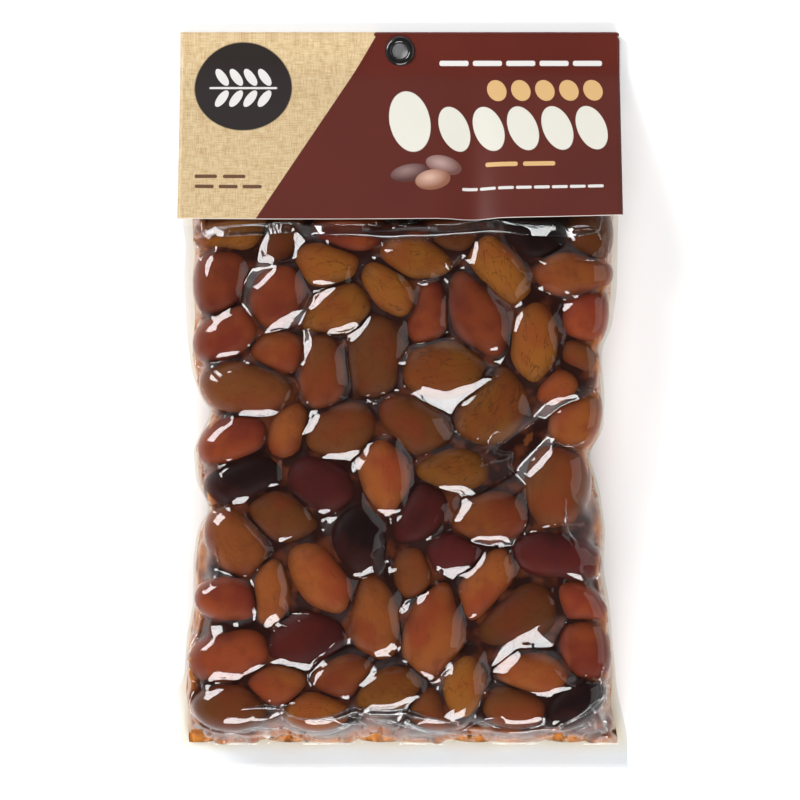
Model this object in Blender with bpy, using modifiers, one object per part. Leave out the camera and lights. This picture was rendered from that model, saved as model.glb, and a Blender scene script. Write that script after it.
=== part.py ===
"""Clear sealed pack of olives with a folded header card and an eyelet, lying on its back.

Metres, +Z up. The pack lies on the plane z = 0 with its front up. +X is to its right and
+Y points to the header card. The origin is on that plane, in the middle of the pack.
"""

import math

import bmesh
import bpy
import numpy as np

MM = 0.001
TOUCH_GAP = 0.3 * MM

# The whole pack
PACK_LENGTH = 218.0 * MM
CREST_HEIGHT = 28.0 * MM
TOP_Y = PACK_LENGTH / 2

# The header card, one board folded over the top of the bag
CARD_WIDTH = 130.0 * MM
CARD_THICKNESS = 0.45 * MM
CARD_FRONT_LENGTH = 60.5 * MM
CARD_BACK_LENGTH = 52.0 * MM
CARD_LIFT = 1.0 * MM
FOLD_GAP = 1.0 * MM
CARD_RISE = 27.0
CARD_RISE_BOW = 1.4
CARD_RISE_SKEW = 1.2
RISE_START = 5.0 * MM
RISE_END = 15.0 * MM

# The eyelet through the card and the bag's top seal
EYELET_DROP = 5.7 * MM
EYELET_OUTER_RADIUS = 4.4 * MM
EYELET_HOLE_RADIUS = 2.3 * MM
EYELET_WALL = 0.35 * MM
EYELET_RIM_HEIGHT = 0.9 * MM
EYELET_BACK_RADIUS = 3.9 * MM
EYELET_BACK_HEIGHT = 0.65 * MM

# The bag: film, seals and the pocket that the olives fill
FILM_BAND = 0.5 * MM
POCKET_BOTTOM = -100.0 * MM
PUCKER_DEPTH = 2.8 * MM
PUCKER_SPACING = 27.5 * MM
PUCKER_PLACE = -7.0 * MM
POCKET_TOP = 92.0 * MM
SIDE_ROUND = 12.0 * MM
BOTTOM_ROUND = 13.0 * MM
SHOULDER_ROUND = 60.0 * MM
SIDE_SEAM_HEIGHT = 7.5 * MM
END_SEAM_HEIGHT = 0.7 * MM
CARD_SEAM_HEIGHT = 2.0 * MM
GAP_SAG = 4.5 * MM
BLEND = 0.4 * MM
UNDERSIDE_FLAT = 0.5 * MM
CARD_STEP_START = 6.0 * MM
CARD_STEP_END = 1.0 * MM

# The flat film outside the pocket: its width all along, and what the upper part and the corners add
FLANGE = 0.9 * MM
LEFT_UPPER_FLANGE = 2.0 * MM
RIGHT_UPPER_FLANGE = 0.8 * MM
LEFT_CORNER_FLANGE = 4.0 * MM
RIGHT_CORNER_FLANGE = 2.0 * MM

# The bag's two side edges: place along the pack, then how far out the film reaches there
LEFT_EDGE = (
    (-109, 67.5), (-89, 67.5), (-82, 63.8), (-69, 62.8), (-60, 61.0), (-47, 61.0), (-38, 59.8),
    (-32, 56.0), (-24, 60.2), (-14, 61.0), (-3, 55.4), (0, 58.6), (9, 61.6), (21, 63.0), (37, 63.8),
    (46, 63.2), (54, 64.4),
)
RIGHT_EDGE = (
    (-109, 67.5), (-99, 67.3), (-86, 64.2), (-70, 62.6), (-60, 61.8), (-50, 60.0), (-38, 60.6),
    (-26, 58.8), (-16, 55.6), (-9, 60.0), (2, 60.4), (12, 59.4), (16, 59.8), (21, 62.4), (32, 64.0),
    (54, 64.4),
)

# The olives of the front layer, by skin: place across and along the pack in mm, and turn in degrees
OLIVES = {
    "tan": (
        (-50, 51, 20), (-22, 40, -3), (5, 42, 0), (29, 38, -60), (-3, 32, -40), (-17, 27, 25), (13, 9, 0),
        (39, 16, 95), (28, -1, 50), (15, -21, 5), (-3, -85, 15), (18, -85, 70), (-24, -92, 0),
    ),
    "brown": (
        (-34, 49, 80), (16, 50, 5), (53, 49, 90), (-23, 8, 90), (-7, 13, 85), (58, 10, 90), (-43, 3, -10),
        (-16, -9, 10), (4, -8, -30), (52, -26, 75), (-34, -34, -28), (4, -49, 90), (35, -63, 28),
        (-45, -90, 0), (35, -92, 0), (12, -94, 0),
    ),
    "orange": (
        (50, 37, 0), (-36, 14, -20), (50, 6, 30), (-33, -10, 70), (50, -6, 70), (-5, -22, 100),
        (27, -35, 12), (-52, -43, -60), (-38, -56, 88), (-22, -52, -50), (25, -54, 60), (-8, -64, -75),
        (10, -68, 80), (-35, -83, -10), (-17, -82, 20), (39, -81, -10),
    ),
    "red": (
        (-15, 50, 0), (-53, 36, 80), (-36, 30, 60), (8, 25, 80), (23, 25, -60), (54, 24, 80), (-52, 20, 30),
        (-51, -11, 25), (-53, -58, 0), (55, -60, -40), (-50, -75, 10), (53, -72, -80),
    ),
    "maroon": ((-23, -25, -30), (6, -32, 60), (44, -46, -15), (15, -45, 0), (-27, -70, 25)),
    "black": ((37, 50, -10), (-53, -23, 20), (-12, -41, 85), (54, -92, 30)),
}
OLIVE_LENGTH = 27.0 * MM
OLIVE_WIDTH = 17.5 * MM
OLIVE_SIZE_SPREAD = 0.08
OLIVE_SQUEEZE = 1.50
OLIVE_SIZE_RANGE = (0.86, 1.20)
OLIVE_ROUNDING = 2.6
OLIVE_LOW = 0.92
CREST_SPREAD = 1.0 * MM
OLIVE_SEED = 7

# How near an olive lies to a side before it is pressed against it, and what the corners leave free
SIDE_PRESS = 5.0 * MM
BOTTOM_ROOM = 3.2 * MM
CORNER_ROOM = 2.2 * MM

# Where the film leaves an olive, as a share of the olive's radius, and its slope from there on
TAUT_REACH = 0.67
TAUT_SLOPE = 0.63

# How finely the bag is divided: cells across, and the cells counted up to each place along, in mm
CELLS_ACROSS = 45
ROW_STRETCHES = ((-109, 0), (-100, 2), (-88, 7), (52, 58), (92, 67), (105, 71))


def smooth_step(value, low, high):
    """0 below low and 1 above high, with a cubic between them."""
    t = np.clip((value - low) / (high - low), 0.0, 1.0)
    return t * t * (3.0 - 2.0 * t)


def card_lines(across):
    """The board's middle line for each place across, from the back panel's edge round to the front's.

    The back panel climbs gently to the fold. The fold is half a circle. The front panel
    runs flat past the eyelet, then bends up to its rise angle over the bag's shoulder.
    Returns the places along the pack and the heights, one row for each place across.
    """
    turn_radius = (FOLD_GAP + CARD_THICKNESS) / 2
    fold_y = TOP_Y - CARD_THICKNESS / 2 - turn_radius
    fold_z = CARD_LIFT + CARD_THICKNESS / 2 + turn_radius
    back = np.linspace(CARD_BACK_LENGTH, 0.0, 13)[:-1]
    back_z = fold_z - turn_radius - CARD_LIFT * smooth_step(back, 8 * MM, 45 * MM)
    angle = np.linspace(-math.pi / 2, math.pi / 2, 7)
    step = 0.5 * MM
    front = np.arange(step / 2, CARD_FRONT_LENGTH, step)
    share = across / (CARD_WIDTH / 2)
    rise = np.radians(CARD_RISE + CARD_RISE_BOW * share**2 + CARD_RISE_SKEW * share)
    slope = rise[:, None] * smooth_step(front, RISE_START, RISE_END)[None, :]
    front_y = fold_y - np.cumsum(np.cos(slope), axis=1) * step
    front_z = fold_z + turn_radius + np.cumsum(np.sin(slope), axis=1) * step
    shape = (len(across), 1)
    every = np.r_[np.arange(5, front.size - 1, 6), front.size - 1]
    along = np.hstack([
        np.tile(fold_y - back, shape), np.tile(fold_y + turn_radius * np.cos(angle), shape),
        front_y[:, every],
    ])
    height = np.hstack([
        np.tile(back_z, shape), np.tile(fold_z + turn_radius * np.sin(angle), shape), front_z[:, every],
    ])
    return along, height


def card_room(x, y):
    """The lowest and highest that the bag may reach at each point, so that it clears the card."""
    along, height = card_lines(np.linspace(-CARD_WIDTH / 2, CARD_WIDTH / 2, 5))
    fold = int(np.argmax(along[0]))
    clear = CARD_THICKNESS / 2 + TOUCH_GAP
    back_y = along[0, :fold]
    floor = np.interp(y, back_y, height[0, :fold]) + clear
    floor *= smooth_step(y, back_y[0] - CARD_STEP_START, back_y[0] - CARD_STEP_END)
    lowest_front = np.min([
        np.interp(y, line_y[fold:][::-1], line_z[fold:][::-1]) for line_y, line_z in zip(along, height)
    ], axis=0)
    under_card = y > along[:, -1].min() - CARD_STEP_END
    ceiling = np.where(under_card, lowest_front - clear / math.cos(math.radians(CARD_RISE)), 1.0)
    return floor, ceiling


def rounded_edge(points, y):
    """The outline through its points, averaged over 4 mm so that its corners are round."""
    places, reach = np.array(points, dtype=float).T * MM
    return np.mean([np.interp(y + shift * MM, places, reach) for shift in (-2, -1, 0, 1, 2)], axis=0)


def film_edges(y):
    """Where the film ends and where the pocket starts on both sides, at each place along the pack."""
    left, right = -rounded_edge(LEFT_EDGE, y), rounded_edge(RIGHT_EDGE, y)
    upper = smooth_step(y, 10 * MM, 25 * MM)
    corner = smooth_step(-y, 80 * MM, 92 * MM)
    left_flange = FLANGE + LEFT_UPPER_FLANGE * upper + LEFT_CORNER_FLANGE * corner
    right_flange = FLANGE + RIGHT_UPPER_FLANGE * upper + RIGHT_CORNER_FLANGE * corner
    return left, left + left_flange, right - right_flange, right


def pocket_bottom(x):
    """Where the pocket starts above the bottom seal: bows of |sin| between the places where it puckers."""
    bow = np.abs(np.sin(math.pi * (x - PUCKER_PLACE) / PUCKER_SPACING))
    return POCKET_BOTTOM + PUCKER_DEPTH * (0.4 - bow)


def fullness(x, y):
    """How full the bag is, from 0 at the pocket's edge to 1 inside: a rounded shoulder on every side."""
    _, left, right, _ = film_edges(y)

    def shoulder(distance, radius):
        """A quarter of an ellipse: 0 at the edge, 1 from one radius inside it."""
        return np.sqrt(1.0 - (1.0 - np.clip(distance / radius, 0.0, 1.0)) ** 2)

    sides = shoulder(np.minimum(x - left, right - x), SIDE_ROUND)
    ends = shoulder(y - pocket_bottom(x), BOTTOM_ROUND) * shoulder(POCKET_TOP - y, SHOULDER_ROUND)
    return sides * ends


def seam_height(y):
    """The height at which the front and back films meet along the sides."""
    below_card = 1.0 - smooth_step(y, 50 * MM, POCKET_TOP)
    low_end = np.where(y > 0, CARD_SEAM_HEIGHT, END_SEAM_HEIGHT)
    return low_end + (SIDE_SEAM_HEIGHT - low_end) * smooth_step(y, -106 * MM, -66 * MM) * below_card


def placed_olives():
    """Each front olive's place, turn, half sizes and crest change.

    An olive is as large as its nearest neighbour leaves room for, times the squeeze. Its size
    sets how far a side of the pocket pushes it in, so the two are found in turns.
    """
    rng = np.random.default_rng(OLIVE_SEED)
    rows = np.array([place for places in OLIVES.values() for place in places], dtype=float)
    placed, turns = rows[:, :2] * MM, np.radians(rows[:, 2])
    size = 1.0 + OLIVE_SIZE_SPREAD * rng.uniform(-1.0, 1.0, len(rows))
    half_length, half_width = OLIVE_LENGTH / 2 * size, OLIVE_WIDTH / 2 * size
    crest_change = CREST_SPREAD * rng.uniform(-1.0, 1.0, len(rows))
    centres = placed
    for _ in range(3):
        step = centres[None, :, :] - centres[:, None, :]
        turned = np.arctan2(step[..., 1], step[..., 0]) - turns[:, None]
        reach = 1.0 / np.hypot(np.cos(turned) / half_length[:, None], np.sin(turned) / half_width[:, None])
        room = np.hypot(step[..., 0], step[..., 1]) / (reach + reach.T)
        np.fill_diagonal(room, np.inf)
        fit = np.clip(room.min(axis=1) * OLIVE_SQUEEZE, *OLIVE_SIZE_RANGE)
        centres = pressed_inside(placed, turns, half_length * fit, half_width * fit)
    return centres, turns, half_length * fit, half_width * fit, crest_change


def pressed_inside(centres, turns, half_lengths, half_widths):
    """Olives nearer than SIDE_PRESS to a side of the pocket are moved until they touch it.

    At a share t of its reach along the pack, a turned ellipse spans t * lean plus or minus
    width * sqrt(1 - t * t) across. The tightest of these spans sets the olive's place.
    """
    reach_along = np.hypot(half_lengths * np.sin(turns), half_widths * np.cos(turns))
    lean = (half_lengths**2 - half_widths**2) * np.sin(turns) * np.cos(turns) / reach_along
    width = half_lengths * half_widths / reach_along
    x, y = centres[:, 0], np.maximum(centres[:, 1], POCKET_BOTTOM + BOTTOM_ROOM + reach_along)
    low, high = np.full(len(x), -1.0), np.full(len(x), 1.0)
    for share in np.linspace(-0.9, 0.9, 13):
        _, left, right, _ = film_edges(y + share * reach_along)
        half = width * math.sqrt(1.0 - share * share) + CORNER_ROOM * smooth_step(-y, 72 * MM, 90 * MM)
        low = np.maximum(low, left + half - share * lean)
        high = np.minimum(high, right - half - share * lean)
    x = np.where(x - low < SIDE_PRESS, low, np.where(high - x < SIDE_PRESS, high, x))
    return np.column_stack([x, y])


def relief(x, y):
    """Height of the film over the seam at each point, as the olives of one layer push it out.

    Each olive is a dome whose top reaches the pillow's height there, give or take its own
    change. The film follows its outline, (1 - radius ** n) ** (1 / n), as far as TAUT_REACH,
    and goes straight down from there. Between the domes it sinks by GAP_SAG at most. A smooth
    maximum, the logarithm of summed exponentials, joins them all.
    """
    seam = seam_height(y)
    pillow = (CREST_HEIGHT - seam) * fullness(x, y)
    total = np.exp((pillow - GAP_SAG * fullness(x, y)) / BLEND)
    for centre, turn, half_length, half_width, change in zip(*placed_olives()):
        top = (CREST_HEIGHT - seam_height(centre[1])) * fullness(centre[0], centre[1]) + change
        east, north = x - centre[0], y - centre[1]
        lengthways = (east * math.cos(turn) + north * math.sin(turn)) / half_length
        sideways = (north * math.cos(turn) - east * math.sin(turn)) / half_width
        radius = np.hypot(lengthways, sideways)
        on_olive = np.minimum(radius, TAUT_REACH)
        dome = OLIVE_LOW * ((1.0 - on_olive**OLIVE_ROUNDING) ** (1.0 / OLIVE_ROUNDING) - 1.0)
        dome -= TAUT_SLOPE * (radius - on_olive)
        total += np.exp((top + half_width * dome) / BLEND)
    return np.minimum(BLEND * np.log(total), pillow + CREST_SPREAD)


def material(name, colour, roughness, metallic=0.0):
    """A Principled material in one plain colour."""
    made = bpy.data.materials.new(name)
    made.use_nodes = True
    shader = made.node_tree.nodes["Principled BSDF"]
    shader.inputs["Base Color"].default_value = (*colour, 1.0)
    shader.inputs["Roughness"].default_value = roughness
    shader.inputs["Metallic"].default_value = metallic
    return made


def add_object(name, mesh, collection, surface=None):
    """A named object for a mesh, in a collection, with its material."""
    made = bpy.data.objects.new(name, mesh)
    if surface:
        mesh.materials.append(surface)
    collection.objects.link(made)
    return made


def sheet_mesh(name, cells_across, cells_along, thickness=0.0):
    """A flat grid from -1 to 1, as one sheet or as a slab of the given thickness."""
    mesh = bpy.data.meshes.new(name)
    grid = bmesh.new()
    bmesh.ops.create_grid(grid, x_segments=cells_across, y_segments=cells_along, size=1.0)
    if thickness:
        bmesh.ops.solidify(grid, geom=grid.faces[:], thickness=thickness)
        bmesh.ops.recalc_face_normals(grid, faces=grid.faces[:])
    grid.to_mesh(mesh)
    grid.free()
    return mesh


def read_points(mesh):
    """The mesh's points as an array with one row each."""
    points = np.empty(len(mesh.vertices) * 3)
    mesh.vertices.foreach_get("co", points)
    return points.reshape(-1, 3)


def write_points(mesh, points):
    """Moves the mesh's points to the rows of the array."""
    mesh.vertices.foreach_set("co", points.ravel())
    mesh.update()


def cut(target, cutter):
    """Cuts one object from another with an exact Boolean."""
    boolean = target.modifiers.new("cut", "BOOLEAN")
    boolean.operation = "DIFFERENCE"
    boolean.solver = "EXACT"
    boolean.object = cutter


def build_bag(collection):
    """The filled bag: a slab whose two faces are moved to the front and the back film.

    The rows of its grid follow the pocket's bottom edge near it, so that the edge is crisp.
    """
    mesh = sheet_mesh("bag", CELLS_ACROSS, ROW_STRETCHES[-1][1], thickness=1.0)
    points = read_points(mesh)
    is_front = points[:, 2] > points[:, 2].mean()
    row = (points[:, 1] + 1.0) / 2 * ROW_STRETCHES[-1][1]
    places, rows = np.array(ROW_STRETCHES, dtype=float).T
    y = np.interp(row, rows, places * MM)
    share = (points[:, 0] + 1.0) / 2
    cell = 1.0 / CELLS_ACROSS
    edges = film_edges(y)
    stops = np.array([0.0, cell, 1.0 - cell, 1.0])
    x = np.array([np.interp(s, stops, marks) for s, marks in zip(share, np.array(edges).T)])
    follows = np.interp(y, POCKET_BOTTOM + BOTTOM_ROUND * np.array([-0.6, 0.0, 1.0]), [0.0, 1.0, 0.0])
    y = y + (pocket_bottom(x) - POCKET_BOTTOM) * follows

    seam = seam_height(y)
    floor, ceiling = card_room(x, y)
    front = seam + np.maximum(relief(x, y), FILM_BAND / 2)
    back = seam - seam / (CREST_HEIGHT - seam) * np.maximum(relief(-x, y), 0.0) - FILM_BAND / 2
    back = np.maximum(back - UNDERSIDE_FLAT * fullness(x, y), floor)
    front = np.maximum(np.minimum(front, ceiling), back + FILM_BAND)
    write_points(mesh, np.column_stack([x, y, np.where(is_front, front, back)]))
    surface = material("olives_in_film", (0.20, 0.07, 0.03), 0.15)
    return add_object("bag", mesh, collection, surface)


def build_card(collection):
    """The header card: one board round the fold, bent along its length and thickened to both sides."""
    across_cells = 20
    sample = card_lines(np.array([0.0]))[0]
    along_cells = sample.shape[1] - 1
    mesh = sheet_mesh("header_card", across_cells, along_cells)
    points = read_points(mesh)
    column = np.rint((points[:, 0] + 1.0) / 2 * across_cells).astype(int)
    row = np.rint((points[:, 1] + 1.0) / 2 * along_cells).astype(int)
    across = np.linspace(-CARD_WIDTH / 2, CARD_WIDTH / 2, across_cells + 1)
    along, height = card_lines(across)
    write_points(mesh, np.column_stack([across[column], along[column, row], height[column, row]]))
    card = add_object("header_card", mesh, collection, material("header_board", (0.16, 0.045, 0.035), 0.4))
    board = card.modifiers.new("board", "SOLIDIFY")
    board.thickness = CARD_THICKNESS
    board.offset = 0.0
    board.use_even_offset = True
    return card


def build_eyelet(collection):
    """The eyelet: a domed front rim, a short tube through the card and a rolled back rim."""
    front_face = CARD_LIFT + 2 * CARD_THICKNESS + FOLD_GAP
    rim_low = front_face + TOUCH_GAP
    barrel = EYELET_HOLE_RADIUS + EYELET_WALL
    back_top = CARD_LIFT - TOUCH_GAP

    def arc(centre_r, centre_z, radius_r, radius_z, start, end, steps):
        """Points on part of an ellipse, from one angle to another in degrees."""
        for angle in np.radians(np.linspace(start, end, steps)):
            yield centre_r + radius_r * math.cos(angle), centre_z + radius_z * math.sin(angle)

    middle = (EYELET_OUTER_RADIUS + EYELET_HOLE_RADIUS) / 2
    half = (EYELET_OUTER_RADIUS - EYELET_HOLE_RADIUS) / 2
    profile = list(arc(middle, rim_low, half, EYELET_RIM_HEIGHT, 180, 0, 10))
    profile += [(barrel, rim_low), (barrel, back_top)]
    back_middle = (EYELET_BACK_RADIUS + EYELET_HOLE_RADIUS) / 2
    back_half = (EYELET_BACK_RADIUS - EYELET_HOLE_RADIUS) / 2
    profile += list(arc(back_middle, back_top, back_half, EYELET_BACK_HEIGHT, 0, -180, 9))

    mesh = bpy.data.meshes.new("eyelet")
    count = len(profile)
    mesh.from_pydata([(r, 0.0, z) for r, z in profile], [(i, (i + 1) % count) for i in range(count)], [])
    eyelet = add_object("eyelet", mesh, collection, material("black_enamel", (0.01, 0.01, 0.01), 0.2))
    eyelet.location = (0.0, TOP_Y - EYELET_DROP, 0.0)
    screw = eyelet.modifiers.new("turned", "SCREW")
    screw.axis = "Z"
    screw.steps = 28
    screw.render_steps = 28
    screw.use_merge_vertices = True
    screw.merge_threshold = 0.00001
    return eyelet


def build_hole_cutter(collection):
    """A rod as wide as the eyelet's tube with its clearance, which holes the card and the bag."""
    mesh = bpy.data.meshes.new("eyelet_hole")
    rod = bmesh.new()
    radius = EYELET_HOLE_RADIUS + EYELET_WALL + TOUCH_GAP
    bmesh.ops.create_cone(rod, cap_ends=True, segments=24, radius1=radius, radius2=radius, depth=20 * MM)
    rod.to_mesh(mesh)
    rod.free()
    cutter = add_object("eyelet_hole", mesh, collection)
    cutter.location = (0.0, TOP_Y - EYELET_DROP, 0.0)
    cutter.hide_render = True
    cutter.display_type = "WIRE"
    return cutter


def main():
    for old in list(bpy.data.objects):
        bpy.data.objects.remove(old, do_unlink=True)
    parts = bpy.data.collections.new("vacuum_pack_of_olives")
    cutters = bpy.data.collections.new("cutters")
    for made in (parts, cutters):
        bpy.context.scene.collection.children.link(made)
    hole = build_hole_cutter(cutters)
    cut(build_bag(parts), hole)
    cut(build_card(parts), hole)
    build_eyelet(parts)


main()
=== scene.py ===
"""Looks of a clear vacuum pack of olives with a folded header card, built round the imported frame."""

import math

import bmesh
import bpy
import numpy as np
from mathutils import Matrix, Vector, noise
from mathutils.bvhtree import BVHTree


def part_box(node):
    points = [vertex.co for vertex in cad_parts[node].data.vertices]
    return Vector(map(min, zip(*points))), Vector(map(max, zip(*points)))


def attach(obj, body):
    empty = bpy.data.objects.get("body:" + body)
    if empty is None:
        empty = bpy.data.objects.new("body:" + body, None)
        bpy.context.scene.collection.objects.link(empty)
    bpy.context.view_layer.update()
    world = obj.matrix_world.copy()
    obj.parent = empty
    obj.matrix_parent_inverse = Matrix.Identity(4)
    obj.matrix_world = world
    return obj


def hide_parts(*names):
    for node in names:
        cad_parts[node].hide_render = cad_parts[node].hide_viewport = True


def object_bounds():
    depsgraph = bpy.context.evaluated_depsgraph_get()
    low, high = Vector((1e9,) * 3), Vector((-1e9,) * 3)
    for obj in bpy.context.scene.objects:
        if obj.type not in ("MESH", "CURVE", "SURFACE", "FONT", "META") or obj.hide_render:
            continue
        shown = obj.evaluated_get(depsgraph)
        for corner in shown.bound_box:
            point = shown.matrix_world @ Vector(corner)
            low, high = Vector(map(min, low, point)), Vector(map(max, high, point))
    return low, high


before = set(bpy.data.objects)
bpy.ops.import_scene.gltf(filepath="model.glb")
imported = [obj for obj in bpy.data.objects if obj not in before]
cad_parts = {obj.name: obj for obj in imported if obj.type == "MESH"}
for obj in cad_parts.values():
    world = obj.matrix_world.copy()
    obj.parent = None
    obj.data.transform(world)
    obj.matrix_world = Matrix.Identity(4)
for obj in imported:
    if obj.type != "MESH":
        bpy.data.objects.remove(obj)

cad_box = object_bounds()
MM = 0.001


# The pillow that the olives and the oil make inside the film. A sealing machine draws the air out,
# so the film takes the shape of what it holds: a flat cushion whose edges are rounded, with two
# flat seals and narrow clear edges. These measures place the olives, the oil and the film.
PACK_TOP = cad_box[1][1]
BAG_LOW, BAG_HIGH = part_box("bag")
CREST_HEIGHT = 28.0 * MM
FILM_TOP = cad_box[1][2] + 0.3 * MM
POCKET_BOTTOM, POCKET_TOP = -100.0 * MM, 92.0 * MM
PUCKER_DEPTH, PUCKER_SPACING, PUCKER_PLACE = 2.8 * MM, 27.5 * MM, -7.0 * MM
SIDE_ROUND, BOTTOM_ROUND, SHOULDER_ROUND = 12.0 * MM, 13.0 * MM, 60.0 * MM
SIDE_SEAM_HEIGHT, END_SEAM_HEIGHT, CARD_SEAM_HEIGHT = 7.5 * MM, 0.7 * MM, 2.0 * MM
SEAM_CLIMB, SEAM_FALL = (-106.0 * MM, -66.0 * MM), (50.0 * MM, POCKET_TOP)
FLANGE = 0.9 * MM
LEFT_UPPER_FLANGE, RIGHT_UPPER_FLANGE, UPPER_GROWTH = 2.0 * MM, 0.8 * MM, (10.0 * MM, 25.0 * MM)
LEFT_CORNER_FLANGE, RIGHT_CORNER_FLANGE, CORNER_GROWTH = 4.0 * MM, 2.0 * MM, (80.0 * MM, 92.0 * MM)
# Place along the pack, then how far out the film reaches there, in millimetres
LEFT_EDGE = (
    (-109, 67.5), (-89, 67.5), (-82, 63.8), (-69, 62.8), (-60, 61.0), (-47, 61.0), (-38, 59.8),
    (-32, 56.0), (-24, 60.2), (-14, 61.0), (-3, 55.4), (0, 58.6), (9, 61.6), (21, 63.0),
    (37, 63.8), (46, 63.2), (54, 64.4),
)
RIGHT_EDGE = (
    (-109, 67.5), (-99, 67.3), (-86, 64.2), (-70, 62.6), (-60, 61.8), (-50, 60.0), (-38, 60.6),
    (-26, 58.8), (-16, 55.6), (-9, 60.0), (2, 60.4), (12, 59.4), (16, 59.8), (21, 62.4),
    (32, 64.0), (54, 64.4),
)


def smooth_step(value, low, high):
    """0 below low and 1 above high, with a cubic between them."""
    t = np.clip((value - low) / (high - low), 0.0, 1.0)
    return t * t * (3.0 - 2.0 * t)


def rounded_edge(points, y):
    """The outline through its points, averaged over 4 mm so that its corners are round."""
    places, reach = np.array(points, dtype=float).T * MM
    return np.mean([np.interp(y + shift * MM, places, reach) for shift in (-2, -1, 0, 1, 2)], axis=0)


def film_edges(y):
    """Where the film ends and where the pocket starts on both sides, at each place along the pack."""
    left, right = -rounded_edge(LEFT_EDGE, y), rounded_edge(RIGHT_EDGE, y)
    upper, corner = smooth_step(y, *UPPER_GROWTH), smooth_step(-y, *CORNER_GROWTH)
    left_flange = FLANGE + LEFT_UPPER_FLANGE * upper + LEFT_CORNER_FLANGE * corner
    right_flange = FLANGE + RIGHT_UPPER_FLANGE * upper + RIGHT_CORNER_FLANGE * corner
    return left, left + left_flange, right - right_flange, right


def shoulder(distance, radius):
    """A quarter of an ellipse: 0 at the edge, 1 from one radius inside it."""
    return np.sqrt(1.0 - (1.0 - np.clip(distance / radius, 0.0, 1.0)) ** 2)


def pocket_bottom(x):
    """Where the pocket starts above the bottom seal: bows of |sin| between the places where it puckers."""
    bow = np.abs(np.sin(math.pi * (x - PUCKER_PLACE) / PUCKER_SPACING))
    return POCKET_BOTTOM + PUCKER_DEPTH * (0.4 - bow)


def fullness(x, y):
    """How full the bag is, from 0 at the pocket's edge to 1 inside."""
    _, left, right, _ = film_edges(y)
    ends = shoulder(y - pocket_bottom(x), BOTTOM_ROUND) * shoulder(POCKET_TOP - y, SHOULDER_ROUND)
    return shoulder(np.minimum(x - left, right - x), SIDE_ROUND) * ends


def seam_height(y):
    """The height at which the front and back films meet along the sides."""
    side = smooth_step(y, *SEAM_CLIMB) * (1.0 - smooth_step(y, *SEAM_FALL))
    low_end = np.where(y > 0, CARD_SEAM_HEIGHT, END_SEAM_HEIGHT)
    return low_end + (SIDE_SEAM_HEIGHT - low_end) * side


# The header card: one piece of satin board, printed on its outer face, folded over the bag's top
# seal and held by the eyelet. The front panel lies flat past the eyelet and then rises over the
# olives, which lift its lower edge, more at the right than at the left.
CARD_WIDTH, CARD_THICKNESS = 130.0 * MM, 0.45 * MM
CARD_FRONT_LENGTH, CARD_BACK_LENGTH = 60.5 * MM, 52.0 * MM
CARD_LIFT, FOLD_GAP = 1.0 * MM, 1.0 * MM
CARD_CORNER = 1.6 * MM
CARD_RISE, CARD_RISE_BOW, CARD_RISE_SKEW = 27.0, 1.4, 1.2
RISE_START, RISE_END = 5.0 * MM, 15.0 * MM
BACK_CLIMB = (8.0 * MM, 45.0 * MM)
BAG_CLEAR, CLEAR_ON_SLOPE = 0.2 * MM, 1.15
BACK_EDGE_STEP, FRONT_EDGE_PAST = (6.0 * MM, 1.0 * MM), 1.0 * MM
CARD_BUCKLE, CARD_BUCKLE_PLACE, CARD_BUCKLE_WIDTH = 1.6, 21.0 * MM, 6.0 * MM
EYELET_Y, HOLE_RADIUS = PACK_TOP - 5.7 * MM, 3.0 * MM


def card_lines(across):
    """The board's middle line at each place across, from the back panel's edge round to the front's.

    The back panel climbs gently to the fold, which is half a circle. The front panel's slope
    grows from 0 to its rise angle, and its places are the running sums of the slope's cosine
    and sine. Returns places along the pack, heights, and the run along the board.
    """
    turn_radius = (FOLD_GAP + CARD_THICKNESS) / 2
    fold_y = PACK_TOP - CARD_THICKNESS / 2 - turn_radius
    fold_z = CARD_LIFT + CARD_THICKNESS / 2 + turn_radius
    back = np.linspace(CARD_BACK_LENGTH, 0.0, 60)[:-1]
    back_z = fold_z - turn_radius - CARD_LIFT * smooth_step(back, *BACK_CLIMB)
    angle = np.linspace(-math.pi / 2, math.pi / 2, 13)
    step = 0.5 * MM
    front = np.arange(step / 2, CARD_FRONT_LENGTH, step)
    share = across / (CARD_WIDTH / 2)
    buckle = CARD_BUCKLE * np.exp(-(((across - CARD_BUCKLE_PLACE) / CARD_BUCKLE_WIDTH) ** 2))
    rise = np.radians(CARD_RISE + CARD_RISE_BOW * share**2 + CARD_RISE_SKEW * share - buckle)
    slope = rise[:, None] * smooth_step(front, RISE_START, RISE_END)[None, :]
    shape = (len(across), 1)
    along = np.hstack([
        np.tile(fold_y - back, shape), np.tile(fold_y + turn_radius * np.cos(angle), shape),
        fold_y - np.cumsum(np.cos(slope), axis=1) * step,
    ])
    height = np.hstack([
        np.tile(back_z, shape), np.tile(fold_z + turn_radius * np.sin(angle), shape),
        fold_z + turn_radius + np.cumsum(np.sin(slope), axis=1) * step,
    ])
    run = np.hstack([-back, turn_radius * angle, front])
    return along, height, run


def room_for_bag(x, y):
    """The lowest and highest that the film may reach at each point between the card's panels."""
    along, height, _ = card_lines(np.linspace(-CARD_WIDTH / 2, CARD_WIDTH / 2, 9))
    fold = int(np.argmax(along[0]))
    clear = CARD_THICKNESS / 2 + BAG_CLEAR
    floor = np.interp(y, along[0, :fold], height[0, :fold]) + clear
    floor = floor * smooth_step(y, *(along[0, 0] - step for step in BACK_EDGE_STEP))
    lowest = np.min([
        np.interp(y, line_y[fold:][::-1], line_z[fold:][::-1]) for line_y, line_z in zip(along, height)
    ], axis=0)
    under_front = y > along[:, -1].min() - FRONT_EDGE_PAST
    lowest = np.where(under_front, lowest - clear * CLEAR_ON_SLOPE, 1.0)
    return floor, np.minimum(lowest, FILM_TOP)


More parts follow.
